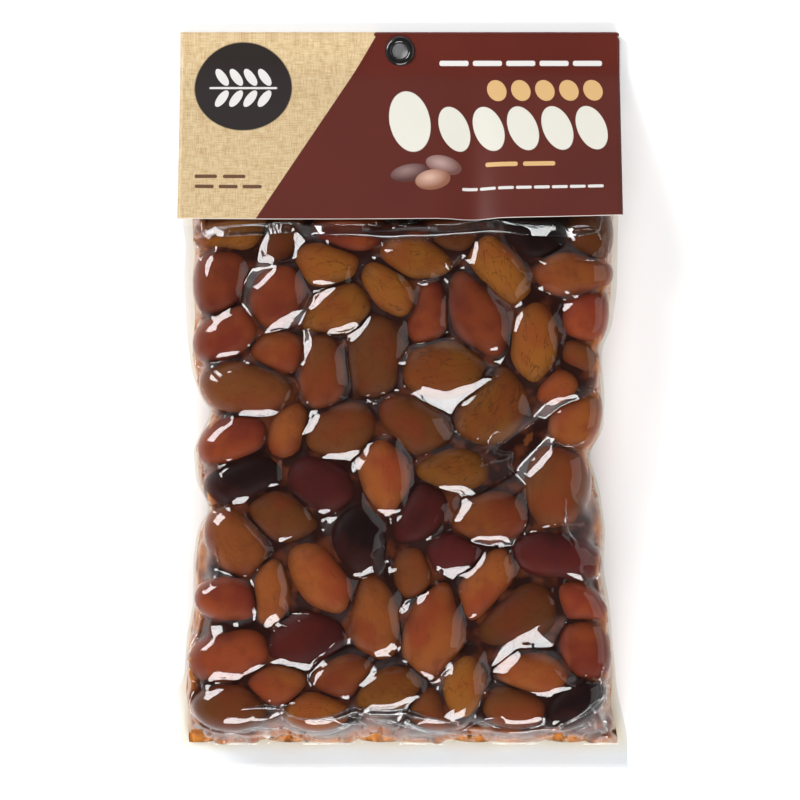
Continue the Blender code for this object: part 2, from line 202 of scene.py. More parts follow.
def grid_faces(rows, columns):
    """The quads of a grid whose points run row by row, as an array of four point numbers each."""
    corner = (np.arange(rows - 1)[:, None] * columns + np.arange(columns - 1)[None, :]).ravel()
    return np.column_stack([corner, corner + 1, corner + columns + 1, corner + columns])


def mesh_object(name, points, faces, smooth=True):
    """A mesh object from an array of points and an array of quads."""
    mesh = bpy.data.meshes.new(name)
    mesh.from_pydata(points.reshape(-1, 3).tolist(), [], faces.tolist())
    mesh.polygons.foreach_set("use_smooth", np.full(len(mesh.polygons), smooth))
    mesh.update()
    made = bpy.data.objects.new(name, mesh)
    bpy.context.scene.collection.objects.link(made)
    return made


def add_attribute(piece, name, values):
    """Stores one number for each point of the piece."""
    layer = piece.data.attributes.new(name, "FLOAT", "POINT")
    layer.data.foreach_set("value", np.asarray(values, dtype=np.float32).ravel())


def punched(points, faces):
    """Leaves out the faces that the eyelet's tube goes through."""
    middle = points.reshape(-1, 3)[faces].mean(axis=1)
    return faces[np.hypot(middle[:, 0], middle[:, 1] - EYELET_Y) > HOLE_RADIUS]


def new_material(name):
    """An empty node material: its tree and its output."""
    made = bpy.data.materials.new(name)
    made.use_nodes = True
    made.node_tree.nodes.clear()
    return made, made.node_tree, made.node_tree.nodes.new("ShaderNodeOutputMaterial")


def add_node(tree, kind, values=None, **settings):
    """A node with its settings, and its inputs linked to the sockets or set to the numbers given."""
    made = tree.nodes.new(kind)
    for name, value in settings.items():
        setattr(made, name, value)
    for name, value in (values or {}).items():
        if isinstance(value, bpy.types.NodeSocket):
            tree.links.new(value, made.inputs[name])
        else:
            made.inputs[name].default_value = value
    return made


def calculate(tree, operation, *values):
    """The result of one sum on sockets or numbers."""
    return add_node(tree, "ShaderNodeMath", dict(enumerate(values)), operation=operation).outputs[0]


def rescale(tree, value, low, high, to_low=0.0, to_high=1.0):
    """The value mapped from one range to another and kept inside it."""
    return add_node(tree, "ShaderNodeMapRange", {
        "Value": value, "From Min": low, "From Max": high, "To Min": to_low, "To Max": to_high,
    }).outputs["Result"]


def blend(tree, factor, first, second):
    """Two colours mixed by the factor."""
    made = add_node(tree, "ShaderNodeMix", {"Factor": factor}, data_type="RGBA")
    for name, value in (("A", first), ("B", second)):
        if isinstance(value, bpy.types.NodeSocket):
            tree.links.new(value, made.inputs[name])
        else:
            made.inputs[name].default_value = (*value, 1.0)
    return made.outputs["Result"]


def stored(tree, name):
    """The number stored at the piece's points under this name."""
    return add_node(tree, "ShaderNodeAttribute", attribute_name=name).outputs["Fac"]


def object_place(tree):
    """The place on the piece, in metres."""
    return add_node(tree, "ShaderNodeTexCoord").outputs["Object"]


def mottle(tree, place, scale, detail, kind="3D", **more):
    """A cloudy noise round a half, with its bumps 1 / scale apart."""
    values = {"Vector": place, "Scale": scale, "Detail": detail, **more}
    return add_node(tree, "ShaderNodeTexNoise", values, noise_dimensions=kind).outputs["Fac"]


def coated(made, tree, output, values):
    """The material, given a Principled surface with these values."""
    shader = add_node(tree, "ShaderNodeBsdfPrincipled", values)
    tree.links.new(shader.outputs["BSDF"], output.inputs["Surface"])
    return made


def new_group(name, inputs, outputs):
    """A node group with named inputs and outputs: its tree, and its two end nodes."""
    tree = bpy.data.node_groups.new(name, "ShaderNodeTree")
    for label, kind in inputs:
        tree.interface.new_socket(name=label, in_out="INPUT", socket_type=f"NodeSocket{kind}")
    for label, kind in outputs:
        tree.interface.new_socket(name=label, in_out="OUTPUT", socket_type=f"NodeSocket{kind}")
    return tree, tree.nodes.new("NodeGroupInput"), tree.nodes.new("NodeGroupOutput")


def build_card():
    """The board: a sheet along card_lines, thickened to both sides, with the run along it stored."""
    across = np.linspace(-CARD_WIDTH / 2, CARD_WIDTH / 2, 121)
    along, height, run = card_lines(across)
    sideways = np.repeat(across[:, None], along.shape[1], axis=1)
    from_fold = np.clip(1.0 - np.abs(run) / CARD_CORNER, 0.0, 1.0)
    corner = CARD_CORNER * (1.0 - np.sqrt(1.0 - from_fold**2))
    limit = CARD_WIDTH / 2 - np.repeat(corner[None, :], len(across), axis=0)
    points = np.stack([np.minimum(sideways, limit), along, height], axis=-1)
    made = mesh_object("printed_card", points, punched(points, grid_faces(*points.shape[:2])))
    add_attribute(made, "across", sideways / MM)
    add_attribute(made, "run", np.repeat(run[None, :], len(across), axis=0) / MM)
    board = made.modifiers.new("board", "SOLIDIFY")
    board.thickness = CARD_THICKNESS
    board.offset = 0.0
    board.material_offset = 1
    board.material_offset_rim = 1
    return made


def print_group(name, shape_input, outputs):
    """A group that prints a row of copies of one shape, a pitch apart.

    Returns its tree, its two end nodes, and the place across and along the run, measured from
    the nearest copy's centre. The nearest copy's number is the place over the pitch, rounded.
    """
    tree, start, end = new_group(name, [(label, "Float") for label in (
        "Across", "Run", "Centre Across", "Centre Run", "Half Width", "Half Height", shape_input,
        "Pitch", "Count",
    )], outputs)
    given = start.outputs
    east = calculate(tree, "SUBTRACT", given["Across"], given["Centre Across"])
    number = calculate(tree, "ROUND", calculate(tree, "DIVIDE", east, given["Pitch"]))
    number = calculate(tree, "MINIMUM", number, calculate(tree, "SUBTRACT", given["Count"], 1.0))
    number = calculate(tree, "MAXIMUM", number, 0.0)
    east = calculate(tree, "SUBTRACT", east, calculate(tree, "MULTIPLY", number, given["Pitch"]))
    return tree, start, end, east, calculate(tree, "SUBTRACT", given["Run"], given["Centre Run"])


def bar_group():
    """The mask of a row of rounded bars: 1 where the distance to a bar is below 0.

    The distance is the length of max(|place| - half size + rounding, 0), less the rounding.
    """
    tree, start, end, east, south = print_group("print_bar", "Rounding", [("Mask", "Float")])
    past = []
    for place, half in ((east, "Half Width"), (south, "Half Height")):
        flat = calculate(tree, "SUBTRACT", start.outputs[half], start.outputs["Rounding"])
        beyond = calculate(tree, "SUBTRACT", calculate(tree, "ABSOLUTE", place), flat)
        past.append(calculate(tree, "POWER", calculate(tree, "MAXIMUM", beyond, 0.0), 2.0))
    length = calculate(tree, "SQRT", calculate(tree, "ADD", *past))
    distance = calculate(tree, "SUBTRACT", length, start.outputs["Rounding"])
    tree.links.new(rescale(tree, distance, 0.08, -0.08), end.inputs["Mask"])
    return tree


def oval_group():
    """The mask of a row of turned ovals, and how far out each place lies, from 0 in a middle to 1."""
    outputs = [("Mask", "Float"), ("Radius", "Float")]
    tree, start, end, east, south = print_group("print_oval", "Turn", outputs)
    place = add_node(tree, "ShaderNodeCombineXYZ", {"X": east, "Y": south}).outputs[0]
    turned = add_node(tree, "ShaderNodeVectorRotate", {
        "Vector": place, "Angle": start.outputs["Turn"],
    }, rotation_type="Z_AXIS").outputs[0]
    axes = add_node(tree, "ShaderNodeSeparateXYZ", {"Vector": turned}).outputs
    squares = []
    for axis, half in (("X", "Half Width"), ("Y", "Half Height")):
        share = calculate(tree, "DIVIDE", axes[axis], start.outputs[half])
        squares.append(calculate(tree, "MULTIPLY", share, share))
    radius = calculate(tree, "SQRT", calculate(tree, "ADD", *squares))
    tree.links.new(rescale(tree, radius, 1.01, 0.98), end.inputs["Mask"])
    tree.links.new(radius, end.inputs["Radius"])
    return tree


CREAM, PEACH = (0.64, 0.62, 0.55), (0.60, 0.38, 0.165)
WHITE, BROWN, BLACK = (0.62, 0.60, 0.58), (0.11, 0.050, 0.024), (0.018, 0.013, 0.012)
MAROON, DARK_MAROON = (0.092, 0.0125, 0.0068), (0.079, 0.0102, 0.0056)
PALE_THREAD, DARK_THREAD = (0.585, 0.455, 0.27), (0.38, 0.245, 0.11)
# Pitch and count of a shape that is printed once
ALONE = (200.0, 1)
# Centre across and along the run, half width, half height, rounding, pitch, count, colour. In mm
PRINT_BARS = (
    (-46.3, 16.3, 10.0, 0.35, 0.3, *ALONE, WHITE), (-56.9, 46.2, 3.3, 0.6, 0.5, 8.3, 2, BROWN),
    (-57.3, 49.6, 2.8, 0.6, 0.5, 7.0, 3, BROWN), (16.0, 8.2, 4.3, 0.8, 0.6, 9.87, 5, WHITE),
    (29.8, 42.3, 4.7, 0.75, 0.6, 11.0, 2, PEACH), (20.5, 50.3, 2.3, 0.5, 0.4, 5.25, 8, WHITE),
)
# Centre across and along the run, half width, half height, turn, pitch, count, colour
PRINT_OVALS = (
    (-52.6, 12.7, 1.35, 3.2, 0.55, 4.2, 4, WHITE), (-52.6, 19.9, 1.35, 3.2, -0.55, 4.2, 4, WHITE),
    (2.9, 27.7, 6.0, 10.4, 0.16, *ALONE, CREAM), (16.0, 30.2, 4.3, 7.8, 0.30, 10.1, 5, CREAM),
    (28.6, 17.2, 2.8, 3.7, 0.30, 7.1, 5, PEACH),
)
# The printed olives: centre, half length, half height, turn, and the colours of middle and edge
PRINT_OLIVES = (
    (12.8, 42.4, 5.4, 3.1, -0.30, (0.38, 0.25, 0.23), (0.14, 0.058, 0.048)),
    (2.8, 45.0, 5.7, 2.9, 0.22, (0.23, 0.14, 0.13), (0.075, 0.027, 0.024)),
    (9.6, 47.3, 5.2, 3.4, 0.20, (0.54, 0.34, 0.26), (0.23, 0.09, 0.052)),
)
FIELD_TOP, FIELD_SLANT, FIELD_BACK = -7.1, 0.5817, -1.0
DISC_PLACE, DISC_RADIUS = (-46.3, 16.3), 14.5
HIGHLIGHT_SHIFT = (-1.0, -0.8)


def card_print():
    """Satin varnish over the print: a woven field at the left, maroon, a disc, bars, and three olives."""
    made, tree, output = new_material("card_print")
    across, run = stored(tree, "across"), stored(tree, "run")
    place = add_node(tree, "ShaderNodeCombineXYZ", {"X": across, "Y": run}).outputs[0]
    colour = blend(tree, rescale(tree, mottle(tree, place, 0.035, 2.0), 0.35, 0.65), MAROON, DARK_MAROON)

    weave = calculate(tree, "MULTIPLY", mottle(tree, place, 0.5, 4.0), 0.5)
    for stretch in ((0.25, 3.4, 1.0), (3.4, 0.25, 1.0)):
        drawn = add_node(tree, "ShaderNodeVectorMath", {0: place, 1: stretch}, operation="MULTIPLY")
        weave = calculate(tree, "ADD", weave, mottle(tree, drawn.outputs[0], 1.0, 2.0, Roughness=0.7))
    woven = blend(tree, rescale(tree, weave, 0.95, 1.45), DARK_THREAD, PALE_THREAD)
    edge = calculate(tree, "SUBTRACT", FIELD_TOP, calculate(tree, "MULTIPLY", run, FIELD_SLANT))
    field = rescale(tree, calculate(tree, "SUBTRACT", across, edge), 0.08, -0.08)
    field = calculate(tree, "MULTIPLY", field, rescale(tree, run, FIELD_BACK - 0.2, FIELD_BACK))
    colour = blend(tree, field, colour, woven)

    def printed(group, *measures):
        values = dict(enumerate((across, run, *measures)))
        return add_node(tree, "ShaderNodeGroup", values, node_tree=group).outputs

    oval, bar = oval_group(), bar_group()
    rows = [(oval, *DISC_PLACE, DISC_RADIUS, DISC_RADIUS, 0.0, *ALONE, BLACK)]
    rows += [(bar, *row) for row in PRINT_BARS] + [(oval, *row) for row in PRINT_OVALS]
    for *measures, ink in rows:
        colour = blend(tree, printed(*measures)["Mask"], colour, ink)
    for *centre, half_width, half_height, turn, middle, rim in PRINT_OLIVES:
        lit = np.add(centre, HIGHLIGHT_SHIFT).tolist()
        light = printed(oval, *lit, half_width, half_height, turn, *ALONE)["Radius"]
        fruit = printed(oval, *centre, half_width, half_height, turn, *ALONE)["Mask"]
        colour = blend(tree, fruit, colour, blend(tree, rescale(tree, light, 0.15, 1.05), middle, rim))

    return coated(made, tree, output, {
        "Base Color": colour, "Specular IOR Level": 0.4,
        "Roughness": rescale(tree, mottle(tree, place, 4.0, 3.0), 0.3, 0.7, 0.30, 0.38),
    })


def board_core():
    """The unprinted face and the cut edge: off-white board with faint fibres."""
    made, tree, output = new_material("board_core")
    fibre = mottle(tree, object_place(tree), 900.0, 3.0)
    return coated(made, tree, output, {
        "Base Color": blend(tree, fibre, (0.46, 0.42, 0.39), (0.55, 0.51, 0.48)), "Roughness": 0.75,
    })


card = build_card()
card.data.materials.append(card_print())
card.data.materials.append(board_core())
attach(card, "root")
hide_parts("header_card")


# The eyelet: a small metal ring, enamelled a glossy black, pressed through the card and the bag's
# top seal. It has a domed front rim, a short tube and a smaller rolled rim at the back.
EYELET_SIDES = 72
EYELET_HOLE, EYELET_TUBE = 2.3 * MM, 2.65 * MM
# Each rim's middle, measured from the hole's axis, and how far its roll reaches sideways and upright
FRONT_RIM, BACK_RIM = (3.35 * MM, (1.05 * MM, 0.9 * MM)), (3.1 * MM, (0.8 * MM, 0.65 * MM))


def arc(centre, radii, start, end, steps):
    """Points on part of an ellipse, as distance from the axis and height. Angles are in degrees."""
    angle = np.radians(np.linspace(start, end, steps))
    return np.column_stack([centre[0] + radii[0] * np.cos(angle), centre[1] + radii[1] * np.sin(angle)])


def build_eyelet():
    """The ring: its closed outline turned about the upright axis through the hole."""
    front, back = CARD_LIFT + 2 * CARD_THICKNESS + FOLD_GAP + 0.1 * MM, CARD_LIFT - 0.1 * MM
    outline = np.concatenate([
        arc((FRONT_RIM[0], front), FRONT_RIM[1], 180, 0, 24), [[EYELET_TUBE, front], [EYELET_TUBE, back]],
        arc((BACK_RIM[0], back), BACK_RIM[1], 0, -180, 18), [[EYELET_HOLE, (front + back) / 2]],
    ])
    turn = np.linspace(0.0, 2 * math.pi, EYELET_SIDES, endpoint=False)[:, None]
    out, height = outline[None, :, 0], outline[None, :, 1]
    points = np.stack([out * np.cos(turn), EYELET_Y + out * np.sin(turn), height + 0.0 * turn], axis=-1)
    number = np.arange(points.shape[0] * points.shape[1]).reshape(points.shape[:2])
    beside, after = np.roll(number, -1, axis=0), np.roll(number, -1, axis=1)
    corner = np.roll(beside, -1, axis=1)
    return mesh_object("ring", points, np.stack([number, after, corner, beside], axis=-1).reshape(-1, 4))


def enamel():
    """Glossy black enamel with a fine wear in its shine."""
    made, tree, output = new_material("black_enamel")
    wear = mottle(tree, object_place(tree), 700.0, 4.0)
    return coated(made, tree, output, {
        "Base Color": blend(tree, wear, (0.006, 0.006, 0.006), (0.014, 0.013, 0.012)),
        "Roughness": rescale(tree, wear, 0.35, 0.7, 0.10, 0.22),
    })


ring = build_eyelet()
ring.data.materials.append(enamel())
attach(ring, "root")
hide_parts("eyelet")


# Where the olives lie: whole fruit, ripe to half ripe, 27 by 17 mm, in two layers. They are soft and
# flatten where they press on each other and on the film. The back layer is the front one turned over.
OLIVES = {
    "tan": (
        (-50, 51, 20), (-22, 40, -3), (5, 42, 0), (29, 38, -60), (-3, 32, -40), (-17, 27, 25), (13, 9, 0),
        (39, 16, 95), (28, -1, 50), (15, -21, 5), (-3, -85, 15), (18, -85, 70), (-24, -92, 0),
    ),
    "brown": (
        (-34, 49, 80), (16, 50, 5), (53, 49, 90), (-23, 8, 90), (-7, 13, 85), (58, 10, 90), (-43, 3, -10),
        (-16, -9, 10), (4, -8, -30), (52, -26, 75), (-34, -34, -28), (4, -49, 90), (35, -63, 28),
        (-45, -90, 0), (35, -92, 0), (12, -94, 0),
    ),
    "orange": (
        (50, 37, 0), (-36, 14, -20), (50, 6, 30), (-33, -10, 70), (50, -6, 70), (-5, -22, 100),
        (27, -35, 12), (-52, -43, -60), (-38, -56, 88), (-22, -52, -50), (25, -54, 60), (-8, -64, -75),
        (10, -68, 80), (-35, -83, -10), (-17, -82, 20), (39, -81, -10),
    ),
    "red": (
        (-15, 50, 0), (-53, 36, 80), (-36, 30, 60), (8, 25, 80), (23, 25, -60), (54, 24, 80), (-52, 20, 30),
        (-51, -11, 25), (-53, -58, 0), (55, -60, -40), (-50, -75, 10), (53, -72, -80),
    ),
    "maroon": ((-23, -25, -30), (6, -32, 60), (44, -46, -15), (15, -45, 0), (-27, -70, 25)),
    "black": ((37, 50, -10), (-53, -23, 20), (-12, -41, 85), (54, -92, 30)),
}
OLIVE_LENGTH, OLIVE_WIDTH = 27.0 * MM, 17.5 * MM
OLIVE_SIZE_SPREAD = 0.08
OLIVE_SQUEEZE, OLIVE_SIZE_RANGE = 1.50, (0.86, 1.20)
CREST_SPREAD, UNDER_CARD = 1.0 * MM, 0.6 * MM
SIDE_PRESS, SIZE_TURNS = 5.0 * MM, 3
BOTTOM_ROOM, CORNER_ROOM, CORNER_START = 3.2 * MM, 2.2 * MM, (72.0 * MM, 90.0 * MM)
DEEP_ACROSS, DEEP_ALONG, DEEP_PITCH = (-54.0 * MM, 55.0 * MM), (-90.0 * MM, 56.0 * MM), 4.0 * MM
DEEP_GAP, DEEP_APART, DEEP_DROP = 0.97, 11.0 * MM, 5.5 * MM
DEEP_UPRIGHT = 44.0 * MM
DEEP_SKINS = {"brown": 0.3, "orange": 0.3, "maroon": 0.15, "red": 0.15, "tan": 0.1}
OLIVE_SEED = 7
OLIVE_TILT, OLIVE_ROUNDING, OLIVE_LOW = 0.10, 2.6, 0.92
NEAR_CARD, LEAN_PART = 35.0 * MM, 0.6


def placed_olives():
    """Each front olive's place, turn, half sizes and crest change.

    An olive is as large as its nearest neighbour leaves room for, times the squeeze. Its size
    sets how far a side of the pocket pushes it in, so the two are found in turns.
    """
    rng = np.random.default_rng(OLIVE_SEED)
    rows = np.array([place for places in OLIVES.values() for place in places], dtype=float)
    placed, turns = rows[:, :2] * MM, np.radians(rows[:, 2])
    size = 1.0 + OLIVE_SIZE_SPREAD * rng.uniform(-1.0, 1.0, len(rows))
    half_length, half_width = OLIVE_LENGTH / 2 * size, OLIVE_WIDTH / 2 * size
    crest_change = CREST_SPREAD * rng.uniform(-1.0, 1.0, len(rows))
    centres = placed
    for _ in range(SIZE_TURNS):
        step = centres[None, :, :] - centres[:, None, :]
        turned = np.arctan2(step[..., 1], step[..., 0]) - turns[:, None]
        reach = 1.0 / np.hypot(np.cos(turned) / half_length[:, None], np.sin(turned) / half_width[:, None])
        room = np.hypot(step[..., 0], step[..., 1]) / (reach + reach.T)
        np.fill_diagonal(room, np.inf)
        fit = np.clip(room.min(axis=1) * OLIVE_SQUEEZE, *OLIVE_SIZE_RANGE)
        centres = pressed_inside(placed, turns, half_length * fit, half_width * fit, SIDE_PRESS)
    return centres, turns, half_length * fit, half_width * fit, crest_change


def pressed_inside(centres, turns, half_lengths, half_widths, near):
    """Olives nearer than this to a side of the pocket are moved until they touch it.

    At a share t of its reach along the pack, a turned ellipse spans t * lean plus or minus
    width * sqrt(1 - t * t) across. The tightest of these spans sets the olive's place.
    """
    reach_along = np.hypot(half_lengths * np.sin(turns), half_widths * np.cos(turns))
    lean = (half_lengths**2 - half_widths**2) * np.sin(turns) * np.cos(turns) / reach_along
    width = half_lengths * half_widths / reach_along
    x, y = centres[:, 0], np.maximum(centres[:, 1], POCKET_BOTTOM + BOTTOM_ROOM + reach_along)
    low, high = np.full(len(x), -1.0), np.full(len(x), 1.0)
    for share in np.linspace(-0.9, 0.9, 13):
        _, left, right, _ = film_edges(y + share * reach_along)
        half = width * math.sqrt(1.0 - share * share) + CORNER_ROOM * smooth_step(-y, *CORNER_START)
        low = np.maximum(low, left + half - share * lean)
        high = np.minimum(high, right - half - share * lean)
    x = np.where(x - low < near, low, np.where(high - x < near, high, x))
    return np.column_stack([x, y])


def plan_radius(x, y, centres, turns, half_lengths, half_widths):
    """How far each point lies from its nearest olive's middle, counted in that olive's own radius."""
    east, north = x[:, None] - centres[:, 0], y[:, None] - centres[:, 1]
    p = (east * np.cos(turns) + north * np.sin(turns)) / half_lengths
    q = (north * np.cos(turns) - east * np.sin(turns)) / half_widths
    return np.hypot(p, q).min(axis=1)


def deep_olives(front):
    """Olives of the next layer down that show through the gaps: the widest gap is filled first."""
    rng = np.random.default_rng(OLIVE_SEED + 2)
    axes = (np.arange(*reach, DEEP_PITCH) for reach in (DEEP_ACROSS, DEEP_ALONG))
    x, y = (axis.ravel() for axis in np.meshgrid(*axes))
    x, y = x + rng.uniform(-1, 1, x.size) * MM, y + rng.uniform(-1, 1, x.size) * MM
    gap = plan_radius(x, y, *front)
    places = []
    for index in np.argsort(-gap):
        spot = np.array([x[index], y[index]])
        if gap[index] > DEEP_GAP and all(np.hypot(*(spot - other)) > DEEP_APART for other in places):
            places.append(spot)
    count = len(places)
    size = 1.0 + OLIVE_SIZE_SPREAD * rng.uniform(-1.0, 1.0, count)
    turns, places = rng.uniform(0, math.pi, count), np.array(places)
    lengths, widths = OLIVE_LENGTH / 2 * size, OLIVE_WIDTH / 2 * size
    turns = np.where(np.abs(places[:, 0]) > DEEP_UPRIGHT, math.pi / 2, turns)
    return pressed_inside(places, turns, lengths, widths, 0.0), turns, lengths, widths


*front_olives, crest_changes = placed_olives()
front_count = len(crest_changes)
deep = deep_olives(front_olives)
centres, turns, half_lengths, half_widths = (np.concatenate(pair) for pair in zip(front_olives, deep))
olive_rng = np.random.default_rng(OLIVE_SEED + 1)
deep_skins = olive_rng.choice(list(DEEP_SKINS), len(deep[0]), p=list(DEEP_SKINS.values()))
olive_skins = np.concatenate([[skin for skin, places in OLIVES.items() for _ in places], deep_skins])
tilts = OLIVE_TILT * olive_rng.uniform(-1.0, 1.0, (len(centres), 2))
tones = olive_rng.uniform(0.0, 1.0, len(centres))
olive_cos, olive_sin = np.cos(turns), np.sin(turns)


def crest_height(x, y):
    """How high an olive may reach: up to the cushion's surface, and clear of the card."""
    cushion = seam_height(y) + (CREST_HEIGHT - seam_height(y)) * fullness(x, y)
    return np.minimum(cushion, room_for_bag(x, y)[1] - UNDER_CARD)


# An olive near the card leans with the ceiling over two places, each a part of the way to an end
half_reach = LEAN_PART * np.hypot(half_lengths * olive_sin, half_widths * olive_cos)
lower_end = crest_height(centres[:, 0], centres[:, 1] - half_reach)
upper_end = crest_height(centres[:, 0], centres[:, 1] + half_reach)
near_card = centres[:, 1] > NEAR_CARD
climb = np.where(near_card, (upper_end - lower_end) / (2 * half_reach * OLIVE_LOW), 0.0)
tilts += np.column_stack([climb * olive_sin * half_lengths / half_widths, climb * olive_cos])
crests = np.where(near_card, (lower_end + upper_end) / 2, crest_height(*centres.T))
crests[:front_count] += np.where(near_card[:front_count], 0.0, crest_changes)
crests[front_count:] -= DEEP_DROP
olive_centres = np.column_stack([centres, crests - half_widths * OLIVE_LOW])


def in_olive(x, y, who):
    """Each point's place in the plan of its olive: 1 at the end of its length, and 1 at its side."""
    east, north = x - olive_centres[who, 0], y - olive_centres[who, 1]
    cos, sin = olive_cos[who], olive_sin[who]
    return (east * cos + north * sin) / half_lengths[who], (north * cos - east * sin) / half_widths[who]


def olive_radius(points, who):
    """How far out each point lies in its own olive: 0 in the middle, 1 on the skin.

    The radius is (plan ** n + upright ** n) ** (1 / n), where plan is the point's distance in the
    olive's ellipse and upright its height as a share of the olive's. The tilt shears the olive.
    """
    x, y, z = np.moveaxis(points, -1, 0)
    p, q = in_olive(x, y, who)
    r = (z - olive_centres[who, 2]) / (half_widths[who] * OLIVE_LOW) - tilts[who, 0] * p - tilts[who, 1] * q
    plan = p * p + q * q
    return (plan ** (OLIVE_ROUNDING / 2) + np.abs(r) ** OLIVE_ROUNDING) ** (1.0 / OLIVE_ROUNDING)


# The film: two clear laminated sheets, sealed together round the edge. The vacuum pulls each sheet
# on to the olives, and what is spare folds into sharp creases between them. A spring net of the
# sheet is drawn inwards on to the olives until it rests, and then gets straight slopes and folds.
FILM_ACROSS, FILM_ALONG = 236, 400
FILM_STEPS = ((4, 260), (2, 220), (1, 160))
FILM_RADIUS, FILM_SLACK, FILM_INDEX = 1.015, 1.04, 1.6
FILM_GLIDE, FILM_PULL, FILM_GRIP = 0.9, 0.03 * MM, 0.7
EDGE_SPRING, DIAGONAL_SPRING, BEND_SPRING = 1.0, 0.35, 0.06
LOOK_EVERY, NEAR_CELL, OLIVES_FELT = 10, 1.5 * MM, 4
OIL_HOLDS, LEAST_RISE = 4.5 * MM, 0.12 * MM
TAUT_SECTORS, TAUT_SLOPE = 6, (0.42, 0.85)
FOLD_HEIGHT, FOLD_WIDTH, FOLD_SHIFT, FOLD_LENGTH = 0.6 * MM, 0.8 * MM, 1.3 * MM, 9.0 * MM
CREASE_HEIGHT, CREASE_SPACING, CREASES_ON_OLIVES = 0.35 * MM, 8.0 * MM, 0.45
PROFILE_POINTS, TAUT_RISE, BACK_FILM_GAP = 700, 1.5 * MM, 0.1 * MM


def even_shares(places, heights, count):
    """Places along a profile at equal distances along its curve."""
    run = np.concatenate([[0.0], np.cumsum(np.hypot(np.diff(places), np.diff(heights)))])
    return np.interp(np.linspace(0.0, run[-1], count), run, places)


def taut_film(across, along):
    """The sheet before the vacuum: over the pillow's even surface, with points evenly spread on it."""
    end_profile = np.linspace(BAG_LOW[1], BAG_HIGH[1], 1200)
    seam = seam_height(end_profile)
    pillow = seam + (CREST_HEIGHT - seam) * fullness(0.0 * end_profile, end_profile)
    _, ceiling = room_for_bag(0.0 * end_profile, end_profile)
    y = even_shares(end_profile, np.minimum(pillow, ceiling), along)
    left, _, _, right = film_edges(y)
    x = np.empty((along, across))
    for row in range(along):
        profile = np.linspace(left[row], right[row], PROFILE_POINTS)
        level = np.full(PROFILE_POINTS, y[row])
        height = (CREST_HEIGHT - seam_height(y[row])) * fullness(profile, level)
        x[row] = even_shares(profile, np.minimum(height, room_for_bag(profile, level)[1]), across)
    y = np.repeat(y[:, None], across, axis=1)
    seam = seam_height(y)
    z = np.minimum(seam + (CREST_HEIGHT + TAUT_RISE - seam) * fullness(x, y), room_for_bag(x, y)[1])
    return np.stack([x, y, z], axis=-1)


def olives_near(x, y):
    """The numbers of the olives nearest to each point, nearest first, looked up in a coarse grid."""
    columns, rows = np.arange(-72 * MM, 72 * MM, NEAR_CELL), np.arange(-112 * MM, 110 * MM, NEAR_CELL)
    p, q = in_olive(columns[None, :, None], rows[:, None, None], slice(None))
    nearest = np.argsort(p * p + q * q, axis=-1)[..., :OLIVES_FELT]
    i = np.clip(np.rint((y - rows[0]) / NEAR_CELL).astype(int), 0, len(rows) - 1)
    j = np.clip(np.rint((x - columns[0]) / NEAR_CELL).astype(int), 0, len(columns) - 1)
    return nearest[i, j]


def lowest_film(x, y):
    """The lowest that the film may sink: the oil in the gaps holds it up."""
    full, seam = fullness(x, y), seam_height(y)
    top = np.minimum(seam + (CREST_HEIGHT - seam) * full, room_for_bag(x, y)[1]) - OIL_HOLDS * full
    return np.maximum(top, seam + LEAST_RISE)


def spring_pairs(rows, columns):
    """Slices of the two ends of every spring, in groups that share no point: edges, diagonals, bends."""
    full, left, right = slice(None), slice(0, columns - 1), slice(1, columns)
    for start in (0, 1):
        here, above = slice(start, rows - 1, 2), slice(start + 1, rows, 2)
        yield EDGE_SPRING, (full, slice(start, columns - 1, 2)), (full, slice(start + 1, columns, 2))
        yield EDGE_SPRING, (here, full), (above, full)
        yield DIAGONAL_SPRING, (here, left), (above, right)
        yield DIAGONAL_SPRING, (here, right), (above, left)
    for start in (0, 1, 2, 3):
        yield BEND_SPRING, (full, slice(start, columns - 2, 4)), (full, slice(start + 2, columns, 4))
        yield BEND_SPRING, (slice(start, rows - 2, 4), full), (slice(start + 2, rows, 4), full)


def inward(points):
    """The unit normal that points into the bag at each point of the sheet."""
    normal = -np.cross(np.gradient(points, axis=1), np.gradient(points, axis=0))
    return normal / np.maximum(np.linalg.norm(normal, axis=-1, keepdims=True), 1e-12)


